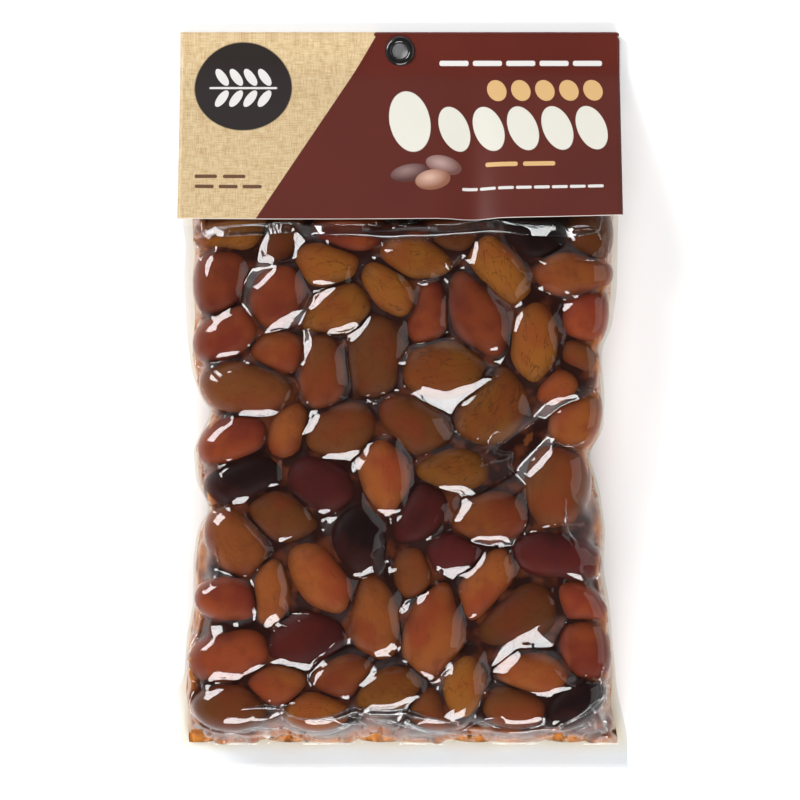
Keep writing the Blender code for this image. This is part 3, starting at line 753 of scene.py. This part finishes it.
def settle(points, held, rest_from, steps):
    """Draws the sheet inwards with its springs until it lies on the olives. Held points stay.

    A step moves each point on by its last move, a little less, and inwards. Then each spring
    brings its two ends to their distance, and a point inside an olive goes out to its skin.
    """
    rows, columns, _ = points.shape
    weight = np.where(held, 0.0, 1.0)[..., None]
    springs = []
    for stiffness, a, b in spring_pairs(rows, columns):
        rest = np.linalg.norm(rest_from[b] - rest_from[a], axis=-1, keepdims=True) * FILM_SLACK
        share = stiffness / np.maximum(weight[a] + weight[b], 1e-9)
        springs.append((a, b, rest, share * weight[a], share * weight[b], stiffness == BEND_SPRING))
    speed = np.zeros_like(points)
    for step in range(steps):
        if step % LOOK_EVERY == 0:
            push = inward(points) * FILM_PULL
            ceiling = room_for_bag(points[..., 0], points[..., 1])[1]
            floor = lowest_film(points[..., 0], points[..., 1])
            near = olives_near(points[..., 0], points[..., 1])
            _, west, east, _ = film_edges(points[..., 1])
        before = points.copy()
        points = points + (speed * FILM_GLIDE + push) * weight
        for a, b, rest, move_a, move_b, only_push in springs:
            gap = points[b] - points[a]
            length = np.sqrt((gap * gap).sum(axis=-1, keepdims=True)) + 1e-12
            wrong = (length - rest) / length
            if only_push:
                wrong = np.minimum(wrong, 0.0)
            points[a] += gap * wrong * move_a
            points[b] -= gap * wrong * move_b
        touching = np.zeros(points.shape[:2], dtype=bool)
        for slot in range(OLIVES_FELT):
            who = near[..., slot]
            radius = olive_radius(points, who)
            inside = (radius < FILM_RADIUS) & ~held
            middle = olive_centres[who[inside]]
            points[inside] = middle + (points[inside] - middle) * (FILM_RADIUS / radius[inside])[:, None]
            touching |= inside
        grip = np.where(touching, FILM_GRIP, 0.0)[..., None]
        points[..., :2] += (before[..., :2] - points[..., :2]) * grip
        x, y, z = np.moveaxis(points, -1, 0)
        x = np.where(held, x, np.clip(x, west, east))
        y = np.where(held, y, np.maximum(y, pocket_bottom(x)))
        z = np.where(held, z, np.minimum(np.maximum(z, floor), ceiling))
        points = np.stack([x, y, z], axis=-1)
        speed = points - before
    return points


def finer(points, rows, columns):
    """The same sheet with more points, placed between the old ones in proportion."""
    old_rows, old_columns, _ = points.shape
    v = np.linspace(0, old_rows - 1.0001, rows)
    u = np.linspace(0, old_columns - 1.0001, columns)
    i, j = v.astype(int), u.astype(int)
    fv, fu = (v - i)[:, None, None], (u - j)[None, :, None]
    low = points[i][:, j] * (1 - fu) + points[i][:, j + 1] * fu
    high = points[i + 1][:, j] * (1 - fu) + points[i + 1][:, j + 1] * fu
    return low * (1 - fv) + high * fv


def vacuum_film():
    """The front sheet drawn on to the olives, first on a coarse net and then on finer ones."""
    points = None
    for divide, steps in FILM_STEPS:
        rows, columns = FILM_ALONG // divide, FILM_ACROSS // divide
        taut = taut_film(columns, rows)
        held = fullness(taut[..., 0], taut[..., 1]) <= 0.0
        start = taut if points is None else finer(points, rows, columns)
        start[held] = taut[held]
        points = settle(start, held, taut, steps)
    x, y, z = np.moveaxis(points, -1, 0)
    full = fullness(x, y)
    pillow = seam_height(y) + (CREST_HEIGHT + CREST_SPREAD - seam_height(y)) * full
    tight = np.maximum(z, np.minimum(taut_height(x, y), pillow))
    points[..., 2] = z + (tight - z) * smooth_step(full, 0.5, 0.9)
    lifted = points - inward(points) * spare_film(x, y)[..., None]
    lifted[..., 2] = np.minimum(lifted[..., 2], room_for_bag(lifted[..., 0], lifted[..., 1])[1])
    return np.where(held[..., None], points, lifted)


def taut_height(x, y):
    """The height of tight film over each point: it leaves an olive in straight slopes with flat sides.

    Round an olive the sheet bends in one direction at a time, so it is made of sectors. In a
    sector it follows the olive's outline, (1 - out ** n) ** (1 / n), until its slope is the
    steepest that the sheet takes, and goes on in a straight slope. The highest sheet is the film.
    """
    rng = np.random.default_rng(OLIVE_SEED + 6)
    count = len(olive_centres)
    uneven = np.arange(TAUT_SECTORS) + rng.uniform(-0.35, 0.35, (count, TAUT_SECTORS))
    facing = rng.uniform(0.0, 2 * math.pi, (count, 1)) + uneven * 2 * math.pi / TAUT_SECTORS
    steepest = rng.uniform(*TAUT_SLOPE, count) / OLIVE_LOW
    places = np.linspace(0.0, 0.995, 300)
    outline = (1.0 - places**OLIVE_ROUNDING) ** (1.0 / OLIVE_ROUNDING)
    leaves = np.interp(steepest, -np.gradient(outline, places), places)
    near, highest = olives_near(x, y), np.full(x.shape, -1.0)
    for slot in range(OLIVES_FELT):
        who = near[..., slot]
        p, q = in_olive(x, y, who)
        out = np.max(p[..., None] * np.cos(facing[who]) + q[..., None] * np.sin(facing[who]), axis=-1)
        share = np.interp(np.minimum(out, leaves[who]), places, outline) * FILM_RADIUS
        share = share - np.maximum(out - leaves[who], 0.0) * steepest[who]
        share = share + tilts[who, 0] * p + tilts[who, 1] * q
        highest = np.maximum(highest, olive_centres[who, 2] + half_widths[who] * OLIVE_LOW * share)
    return highest


def noise_at(x, y, spacing, layer):
    """Smooth noise between -1 and 1 at each point, with its bumps a spacing apart."""
    places = zip((x / spacing).ravel(), (y / spacing).ravel())
    return np.array([noise.noise(Vector((east, north, layer))) for east, north in places]).reshape(x.shape)


def spare_film(x, y):
    """How far the film stands off at each point: creases all over it, and folds along the gaps.

    A crease runs where a noise passes through 0, because its height is 1 - |noise|. A fold runs
    beside the line on which two olives are equally near. Its height is exp(-(d / width) ** 2),
    where d is the distance from that line, and it fades out where a third olive comes near.
    """
    rng = np.random.default_rng(OLIVE_SEED + 4)
    near = olives_near(x, y)[..., :3]
    radius = np.hypot(*in_olive(x[..., None], y[..., None], near))
    order = np.argsort(radius, axis=-1)
    near, radius = np.take_along_axis(near, order, -1), np.take_along_axis(radius, order, -1)
    first, second = near[..., 0], near[..., 1]
    pair = np.minimum(first, second), np.maximum(first, second)
    luck, aside = rng.uniform(0.0, 1.0, (2, len(olive_centres), len(olive_centres)))
    side = np.where(first < second, 1.0, -1.0)
    distance = side * (radius[..., 1] - radius[..., 0]) * OLIVE_WIDTH / 4 - FOLD_SHIFT * (2 * aside[pair] - 1)
    fold = np.exp(-((distance / FOLD_WIDTH) ** 2)) * smooth_step(luck[pair], 0.0, 0.6)
    fold = fold * smooth_step(radius[..., 2] - radius[..., 1], 0.02, 0.25)
    fold = fold * smooth_step(noise_at(x, y, FOLD_LENGTH, 5.0), -0.5, 0.0)
    gap = smooth_step(radius[..., 0], 0.72, 0.95)
    wide, fine = noise_at(x, y, CREASE_SPACING, 0.0), noise_at(x, y, CREASE_SPACING / 2, 2.0)
    crease = np.maximum(1.0 - np.abs(wide) - 0.5 * np.abs(fine), 0.0)
    crease = crease * (CREASES_ON_OLIVES + (1.0 - CREASES_ON_OLIVES) * gap)
    return (FOLD_HEIGHT * fold * gap + CREASE_HEIGHT * crease) * smooth_step(fullness(x, y), 0.15, 0.6)


def turned_over(x, y):
    """The place across after a turn about the long axis: pocket on pocket and flange on flange."""
    left, inner_left, inner_right, right = film_edges(y)
    back = inner_left + inner_right - x
    ratio = (inner_left - left) / (right - inner_right)
    past_left, past_right = np.maximum(inner_left - back, 0.0), np.maximum(back - inner_right, 0.0)
    return back + past_left * (1.0 - ratio) - past_right * (1.0 - 1.0 / ratio)


def back_height(z, y):
    """Turns a height of the front over, so that the highest place touches the table or the back panel."""
    floor = room_for_bag(0.0 * y, y)[0]
    seam = seam_height(y)
    return floor + (seam - floor) * (1.0 - (z - seam) / (FILM_TOP - seam))


def film_material():
    """Clear film: light passes through, and a sharp reflection grows at a slant.

    The share that reflects is Fresnel's for the film's index, turned over on faces seen from
    behind, because the sheet is a single one. Beside the contents the film picks up a warm tint.
    """
    made, tree, output = new_material("clear_film")
    beyond = stored(tree, "beyond")
    warm = rescale(tree, beyond, 0.2, 4.0, 1.0, 0.0)
    warm = calculate(tree, "MULTIPLY", warm, rescale(tree, beyond, -0.6, 0.2))
    clear = add_node(tree, "ShaderNodeBsdfTransparent", {
        "Color": blend(tree, warm, (0.967, 0.977, 0.984), (0.965, 0.94, 0.88)),
    })
    haze = mottle(tree, object_place(tree), 60.0, 3.0)
    gloss = add_node(tree, "ShaderNodeBsdfGlossy", {"Roughness": rescale(tree, haze, 0.3, 0.7, 0.02, 0.05)})
    behind = add_node(tree, "ShaderNodeNewGeometry").outputs["Backfacing"]
    index = rescale(tree, behind, 0.0, 1.0, FILM_INDEX, 1.0 / FILM_INDEX)
    slant = add_node(tree, "ShaderNodeFresnel", {"IOR": index}).outputs["Fac"]
    mix = add_node(tree, "ShaderNodeMixShader", {0: slant, 1: clear.outputs[0], 2: gloss.outputs[0]})
    tree.links.new(mix.outputs["Shader"], output.inputs["Surface"])
    return made


film_surface = film_material()
sheet = vacuum_film()
sheet_x, sheet_y, sheet_z = np.moveaxis(sheet, -1, 0)
back_z = back_height(sheet_z, sheet_y) - BACK_FILM_GAP
turned = np.stack([turned_over(sheet_x, sheet_y), sheet_y, back_z], axis=-1)
for name, points in (("front_film", sheet), ("back_film", turned)):
    film = mesh_object(name, points, punched(points, grid_faces(*points.shape[:2])))
    _, inner_left, inner_right, _ = film_edges(points[..., 1])
    past = np.maximum(inner_left - points[..., 0], points[..., 0] - inner_right)
    past_bottom = pocket_bottom(sheet_x) - points[..., 1]
    add_attribute(film, "beyond", np.maximum(past, past_bottom) / MM)
    film.data.materials.append(film_surface)
    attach(film, "root")
    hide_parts("bag")


# The oil between the olives. It lies right under the film at the pocket's edge, where it is thin and
# amber, and a little below the film inside, where it is deep and nearly black; that near-black is
# partly the oil's own colour and partly painted shade of the deep gaps between the olives.
OIL_EDGE, OIL_SINK, OIL_LEAST = 0.2 * MM, 1.4 * MM, 0.05 * MM
OIL_CELLS, OIL_MARGIN, OIL_SMOOTHINGS = (130, 190), 0.2 * MM, 3
OIL_END_DARKENING, OIL_END = 0.10, (82.0 * MM, 95.0 * MM)
# Depth, from 0 at the pocket's edge to 1 inside, and the colour there, the darkest partly painted shade
OIL_AND_SHADE_COLOURS = (
    (0.15, (0.42, 0.150, 0.022)), (0.42, (0.24, 0.066, 0.010)), (0.66, (0.085, 0.020, 0.007)),
    (0.92, (0.017, 0.0045, 0.003)),
)
film_tree = BVHTree.FromPolygons(sheet.reshape(-1, 3).tolist(), grid_faces(*sheet.shape[:2]).tolist())


def film_over(x, y, otherwise):
    """The height of the front film over each point, found by a ray from above."""
    down, found = Vector((0.0, 0.0, -1.0)), np.array(otherwise, dtype=float)
    for number, (east, north) in enumerate(zip(x.ravel(), y.ravel())):
        hit = film_tree.ray_cast(Vector((east, north, 0.1)), down)[0]
        if hit is not None:
            found.flat[number] = hit.z
    return found


def pillow_grid(columns, rows):
    """Points over the pocket, closer together near its sides and its ends."""
    share = 0.5 - 0.5 * np.cos(np.linspace(0.0, math.pi, columns))
    share = 0.5 * share + 0.5 * np.linspace(0.0, 1.0, columns)
    end_share = 0.5 - 0.5 * np.cos(np.linspace(0.0, math.pi, rows))
    along = POCKET_BOTTOM + (POCKET_TOP - POCKET_BOTTOM) * end_share
    _, left, right, _ = film_edges(along)
    x = left[:, None] + (right - left)[:, None] * share[None, :]
    bottom = pocket_bottom(x) + OIL_MARGIN
    return x, bottom + (POCKET_TOP - OIL_MARGIN - bottom) * end_share[:, None]


def build_oil():
    """Two height fields, one under each film, closed round their edge by the seam."""
    x, y = pillow_grid(*OIL_CELLS)
    seam, full = seam_height(y), fullness(x, y)
    film_z = film_over(x, y, seam)
    for _ in range(OIL_SMOOTHINGS):
        inner = film_z[1:-1, 1:-1]
        around = film_z[:-2, 1:-1] + film_z[2:, 1:-1] + film_z[1:-1, :-2] + film_z[1:-1, 2:]
        film_z[1:-1, 1:-1] = np.minimum(inner, 0.5 * inner + 0.125 * around)
    front = np.maximum(film_z - OIL_EDGE - OIL_SINK * smooth_step(full, 0.3, 0.95), seam + OIL_LEAST)
    back = back_height(front, y)
    back_x = turned_over(x, y)
    rows, columns = x.shape
    faces = grid_faces(rows, columns)
    back_faces = faces + x.size
    ring = np.concatenate([
        np.arange(columns - 1), np.arange(rows - 1) * columns + columns - 1,
        (rows - 1) * columns + np.arange(columns - 1, 0, -1), np.arange(rows - 1, 0, -1) * columns,
    ])
    row, column = ring // columns, ring % columns
    below = x.size + row * columns + (columns - 1 - column)
    wall = np.column_stack([ring, below, np.roll(below, -1), np.roll(ring, -1)])
    points = np.concatenate([
        np.stack([x, y, front], axis=-1).reshape(-1, 3), np.stack([back_x, y, back], axis=-1).reshape(-1, 3),
    ])
    made = mesh_object("oil", points, np.concatenate([faces, back_faces, wall]))
    dark_end = OIL_END_DARKENING * smooth_step(-y, *OIL_END)
    add_attribute(made, "depth", np.tile((full + dark_end).ravel(), 2))
    return made


def oil_material():
    """Oil whose colour follows its depth: amber, orange, red-brown and nearly black, the near-black partly
    painted shade of the deep gaps.
    """
    made, tree, output = new_material("olive_oil")
    cloud = rescale(tree, mottle(tree, object_place(tree), 170.0, 2.0), 0.35, 0.65, -0.30, 0.10)
    ramp = add_node(tree, "ShaderNodeValToRGB", {"Fac": calculate(tree, "ADD", stored(tree, "depth"), cloud)})
    stops = ramp.color_ramp.elements
    stops.remove(stops[1])
    stops[0].position = OIL_AND_SHADE_COLOURS[0][0]
    for depth, _ in OIL_AND_SHADE_COLOURS[1:]:
        stops.new(depth)
    for stop, (_, colour) in zip(stops, OIL_AND_SHADE_COLOURS):
        stop.color = (*colour, 1.0)
    return coated(made, tree, output, {
        "Base Color": ramp.outputs["Color"], "Roughness": 0.3, "Specular IOR Level": 0.15,
    })


oil = build_oil()
oil.data.materials.append(oil_material())
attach(oil, "root")
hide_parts("bag")


# The olives themselves, one piece for each skin colour and layer: waxy skin, mottled in two tones,
# with fine dark cracks along the fruit. The oil between an olive and the film deepens its colour, and
# where the skin sinks below the film it is also darkened with painted shade, which near the pack's
# sides turns to a painted amber glow.
OLIVE_RINGS, OLIVE_SIDES = 26, 36
OLIVE_GAP, OLIVE_NEIGHBOURS, OLIVE_PRESS, LEAST_SHARE = 0.035, 9, 0.10, 0.2
HALVINGS, SKIN_SMOOTHINGS = 11, 4
# Where the painted shade under the film starts and how deep it takes to darken; then the colours of the
# cracks, of the near-black painted shade with oil tint, and of the amber oil with painted glow near the
# pack's sides
TINT_START, TINT_DEPTH = 0.2 * MM, 1.7 * MM
CRACK, DEEP_OIL_SHADE, EDGE_OIL_GLOW = (0.020, 0.007, 0.0035), (0.018, 0.0055, 0.0035), (0.20, 0.057, 0.012)


def olive_skins_in_place():
    """Points of every olive: rings and sides of a ball, stretched, and pressed in by its neighbours.

    Each point slides along the line to its olive's middle until its radius in every neighbour
    exceeds its radius in its own olive by the gap. Halving the line again and again finds that
    place. The least excess is a smooth minimum, -press * log(sum(exp(-excess / press))), and the
    places are then averaged with those beside them, so that the corners between two neighbours
    are round. The olives of the next layer down give way to the front ones, and not the other
    way round.
    """
    ring = np.linspace(0.0, math.pi, OLIVE_RINGS + 1)[:, None]
    side = np.linspace(0.0, 2 * math.pi, OLIVE_SIDES, endpoint=False)[None, :]
    unit = np.stack(np.broadcast_arrays(
        np.cos(ring), np.sin(ring) * np.cos(side), np.sin(ring) * np.sin(side)), axis=-1)
    plan, upright = np.hypot(unit[..., 0], unit[..., 1]), np.abs(unit[..., 2])
    unit = unit / ((plan**OLIVE_ROUNDING + upright**OLIVE_ROUNDING) ** (1.0 / OLIVE_ROUNDING))[..., None]
    unit = unit.reshape(1, -1, 3)
    lengths, widths = half_lengths[:, None], half_widths[:, None]
    p, q = unit[..., 0], unit[..., 1]
    r = unit[..., 2] + tilts[:, :1] * p + tilts[:, 1:] * q
    cos, sin = olive_cos[:, None], olive_sin[:, None]
    step = np.stack([
        lengths * p * cos - widths * q * sin, lengths * p * sin + widths * q * cos, widths * OLIVE_LOW * r,
    ], axis=-1)
    apart = np.linalg.norm(olive_centres[:, None] - olive_centres[None], axis=-1)
    np.fill_diagonal(apart, np.inf)
    neighbours = np.argsort(apart, axis=1)[:, :OLIVE_NEIGHBOURS]
    below = (np.arange(len(apart)) >= front_count)[:, None]
    shut, free = np.full(step.shape[:2], LEAST_SHARE), np.ones(step.shape[:2])
    share = free.copy()
    for _ in range(HALVINGS):
        points = olive_centres[:, None] + step * share[..., None]
        nearness = np.zeros(share.shape)
        for slot in range(OLIVE_NEIGHBOURS):
            other = neighbours[:, slot, None]
            needed = np.where(below & ~below[other[:, 0]], 1.0, share)
            excess = olive_radius(points, other) - needed
            nearness += np.where(~below & below[other[:, 0]], 0.0, np.exp(-excess / OLIVE_PRESS))
        clear = nearness <= math.exp(-OLIVE_GAP / OLIVE_PRESS)
        shut, free = np.where(clear, share, shut), np.where(clear, free, share)
        share = (shut + free) / 2
    share = share.reshape(-1, OLIVE_RINGS + 1, OLIVE_SIDES)
    for _ in range(SKIN_SMOOTHINGS):
        share = (np.roll(share, 1, axis=2) + 2.0 * share + np.roll(share, -1, axis=2)) / 4.0
        share[:, 1:-1] = (share[:, :-2] + 2.0 * share[:, 1:-1] + share[:, 2:]) / 4.0
    share[:, [0, -1]] = share[:, [0, -1]].mean(axis=2, keepdims=True)
    share = share.reshape(len(share), -1)
    return olive_centres[:, None] + step * share[..., None], unit[0, :, 0], unit[0, :, 1]


olive_points, olive_lengthways, olive_sideways = olive_skins_in_place()
olive_x, olive_y, olive_z = np.moveaxis(olive_points, -1, 0)
# Painted shade with oil tint: the deeper a skin point lies below the film, the darker its colour is made
olive_oil_and_shade = film_over(olive_x, olive_y, olive_z) - olive_z - TINT_START
olive_oil_and_shade = 1.0 - np.exp(-np.maximum(olive_oil_and_shade, 0.0) / TINT_DEPTH)
# Painted glow: near the pack's sides the darkening under the film turns to amber, as if light came through
# the thin edge
olive_glow = 1.0 - smooth_step(fullness(olive_x, olive_y), 0.35, 0.85)


def olive_mesh(name, chosen, back):
    """The chosen olives as one piece. The back layer is turned over about the pack's long axis."""
    points = olive_points[chosen]
    if back:
        x, y, z = np.moveaxis(points, -1, 0)
        points = np.stack([turned_over(x, y), y, back_height(z, y)], axis=-1)
    one = np.arange((OLIVE_RINGS + 1) * OLIVE_SIDES).reshape(OLIVE_RINGS + 1, OLIVE_SIDES)
    after = np.roll(one, -1, axis=1)
    faces = np.stack([one[:-1], one[1:], after[1:], after[:-1]], axis=-1).reshape(-1, 4)
    faces = (faces[None] + np.arange(len(chosen))[:, None, None] * one.size).reshape(-1, 4)
    made = mesh_object(name, points, faces)
    for label, values in (
        ("oil_tint_and_shade", olive_oil_and_shade[chosen]), ("glow", olive_glow[chosen]),
        ("tone", np.repeat(tones[chosen], one.size)),
        ("lengthways", np.tile(olive_lengthways, len(chosen))),
        ("sideways", np.tile(olive_sideways, len(chosen))),
    ):
        add_attribute(made, label, values)
    joined = bmesh.new()
    joined.from_mesh(made.data)
    bmesh.ops.remove_doubles(joined, verts=joined.verts[:], dist=0.002 * MM)
    joined.to_mesh(made.data)
    joined.free()
    return made


def skin_group():
    """The skin's colour: two tones in soft patches, cracks along the fruit, and the oil over it, with painted
    shade where the skin sinks below the film that turns to a painted amber glow near the pack's sides.

    The cracks are the places where a noise drawn out along the fruit is close to its middle value.
    """
    tree, start, end = new_group("olive_skin", [
        ("Base", "Color"), ("Second", "Color"), ("Blush", "Color"),
        ("Patches", "Float"), ("Cracks", "Float"),
    ], [("Colour", "Color")])
    place, tone = object_place(tree), stored(tree, "tone")
    shift = calculate(tree, "MULTIPLY", tone, 19.0)
    patch = mottle(tree, place, 150.0, 5.0, "4D", W=shift, Roughness=0.6)
    patch = rescale(tree, calculate(tree, "ADD", patch, start.outputs["Patches"]), 0.52, 0.75)
    colour = blend(tree, patch, start.outputs["Base"], start.outputs["Second"])
    ripe = rescale(tree, mottle(tree, place, 75.0, 2.0, "4D", W=shift), 0.46, 0.64)
    colour = blend(tree, ripe, colour, start.outputs["Blush"])
    bright = rescale(tree, tone, 0.0, 1.0, 0.72, 1.25)
    scaled = add_node(tree, "ShaderNodeVectorMath", {0: colour, "Scale": bright}, operation="SCALE")
    lengthways = calculate(tree, "MULTIPLY", stored(tree, "lengthways"), 0.55)
    fruit = {"X": lengthways, "Y": stored(tree, "sideways"), "Z": shift}
    fruit = add_node(tree, "ShaderNodeCombineXYZ", fruit).outputs[0]
    grain = mottle(tree, fruit, 2.6, 3.0, Roughness=0.55, Distortion=0.4)
    off = calculate(tree, "ABSOLUTE", calculate(tree, "SUBTRACT", grain, 0.5))
    crack = calculate(tree, "MULTIPLY", rescale(tree, off, 0.012, 0.0), start.outputs["Cracks"])
    colour = blend(tree, crack, scaled.outputs[0], CRACK)
    # Painted shade with oil tint where the skin lies below the film, and an amber painted glow near the
    # pack's sides
    colour = blend(tree, stored(tree, "oil_tint_and_shade"), colour, blend(tree, stored(tree, "glow"), DEEP_OIL_SHADE, EDGE_OIL_GLOW))
    tree.links.new(colour, end.inputs["Colour"])
    return tree


def olive_material(name, base, second, blush, patches, cracks):
    """Skin under oil, with its reflections left to the film over it."""
    made, tree, output = new_material(name)
    colours = {"Base": (*base, 1.0), "Second": (*second, 1.0), "Blush": (*blush, 1.0)}
    values = {**colours, "Patches": patches, "Cracks": cracks}
    skin = add_node(tree, "ShaderNodeGroup", values, node_tree=skin_colour).outputs["Colour"]
    return coated(made, tree, output, {
        "Base Color": skin, "Roughness": 0.55, "Specular IOR Level": 0.06,
    })


# Base colour, patch colour, blush, more or fewer patches, and how dark the cracks are
OLIVE_SKINS = {
    "tan": ((0.166, 0.054, 0.0078), (0.118, 0.033, 0.0065), (0.158, 0.038, 0.0075), 0.00, 0.6),
    "brown": ((0.102, 0.030, 0.0070), (0.065, 0.017, 0.0065), (0.122, 0.025, 0.0068), 0.03, 0.25),
    "orange": ((0.180, 0.048, 0.0105), (0.112, 0.029, 0.0095), (0.156, 0.029, 0.0085), 0.02, 0.25),
    "red": ((0.180, 0.035, 0.0100), (0.120, 0.023, 0.0085), (0.124, 0.019, 0.0085), 0.02, 0.15),
    "maroon": ((0.050, 0.007, 0.006), (0.030, 0.006, 0.006), (0.070, 0.009, 0.006), 0.05, 0.10),
    "black": ((0.007, 0.002, 0.002), (0.016, 0.004, 0.003), (0.020, 0.004, 0.003), 0.00, 0.05),
}
skin_colour = skin_group()
for skin, look in OLIVE_SKINS.items():
    surface = olive_material(f"olive_skin_{skin}", *look)
    chosen = np.flatnonzero(olive_skins == skin)
    for layer, back in (("front", False), ("back", True)):
        olives = olive_mesh(f"olives_{skin}_{layer}", chosen, back)
        olives.data.materials.append(surface)
        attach(olives, "root")
        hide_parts("bag")


# The table and the light: a white table, two strong softboxes whose reflections are the white
# marks on the film, a dim panel at the right whose reflection is the grey sheen, and a soft light
# overhead that the film doesn't reflect.
TABLE_SIZE, TABLE_GAP = 3.0, 0.05 * MM
CAMERA_HEIGHT, CAMERA_LENS = 1.56, 200.0
VIEW_WIDTH, VIEW_HEIGHT = 233.7 * MM, 24.0 * MM
# Azimuth and elevation in degrees, distance and sides in metres, radiance
LAMPS = {
    "softbox_near": (8.0, 34.0, 1.5, (1.1, 0.56), 15.0),
    "softbox_far_left": (-128.0, 36.0, 1.5, (0.82, 0.62), 15.0),
    "panel_right": (95.0, 38.0, 1.5, (1.2, 0.9), 0.85),
    "overhead": (0.0, 89.0, 2.2, (1.6, 1.6), 1.25),
}


def build_table():
    """A flat white square under the pack."""
    half, low = TABLE_SIZE / 2, -TABLE_GAP
    points = np.array([[-half, -half, low], [half, -half, low], [half, half, low], [-half, half, low]])
    return mesh_object("table", points, np.array([[0, 1, 2, 3]]), smooth=False)


table_surface, tree, output = new_material("white_table")
tone = mottle(tree, object_place(tree), 40.0, 3.0)
coated(table_surface, tree, output, {
    "Base Color": blend(tree, tone, (0.865, 0.865, 0.865), (0.875, 0.875, 0.875)),
    "Roughness": 0.8, "Specular IOR Level": 0.1,
})
table = build_table()
table.data.materials.append(table_surface)


def softbox(name, azimuth, elevation, distance, size, radiance):
    """A rectangular area light that faces the pack. Its power follows from the radiance asked for."""
    lamp = bpy.data.lights.new(name, "AREA")
    lamp.shape = "RECTANGLE"
    lamp.size, lamp.size_y = size
    lamp.energy = radiance * math.pi * size[0] * size[1]
    made = bpy.data.objects.new(name, lamp)
    a, e = math.radians(azimuth), math.radians(elevation)
    direction = np.array([math.cos(e) * math.sin(a), -math.cos(e) * math.cos(a), math.sin(e)])
    made.location = direction * distance
    made.rotation_euler = (math.radians(90.0) - e, 0.0, a)
    bpy.context.scene.collection.objects.link(made)
    return made


lamps = {name: softbox(name, *measures) for name, measures in LAMPS.items()}
lamps["overhead"].visible_glossy = False

world = bpy.data.worlds.new("studio")
world.use_nodes = True
sky = world.node_tree
upward = add_node(sky, "ShaderNodeTexCoord").outputs["Generated"]
upward = add_node(sky, "ShaderNodeSeparateXYZ", {"Vector": upward}).outputs["Z"]
background = sky.nodes["Background"].inputs
sky.links.new(rescale(sky, upward, 0.15, 0.75, 0.8, 0.03), background["Strength"])
background["Color"].default_value = (0.95, 0.97, 1.0, 1.0)
bpy.context.scene.world = world
bpy.context.scene.view_settings.view_transform = "Standard"

camera_data = bpy.data.cameras.new("camera")
camera_data.lens = CAMERA_LENS
camera_data.sensor_width = CAMERA_LENS * VIEW_WIDTH / CAMERA_HEIGHT
camera = bpy.data.objects.new("camera", camera_data)
camera.location = (0.0, 0.0, CAMERA_HEIGHT + VIEW_HEIGHT)
bpy.context.scene.collection.objects.link(camera)
bpy.context.scene.camera = camera
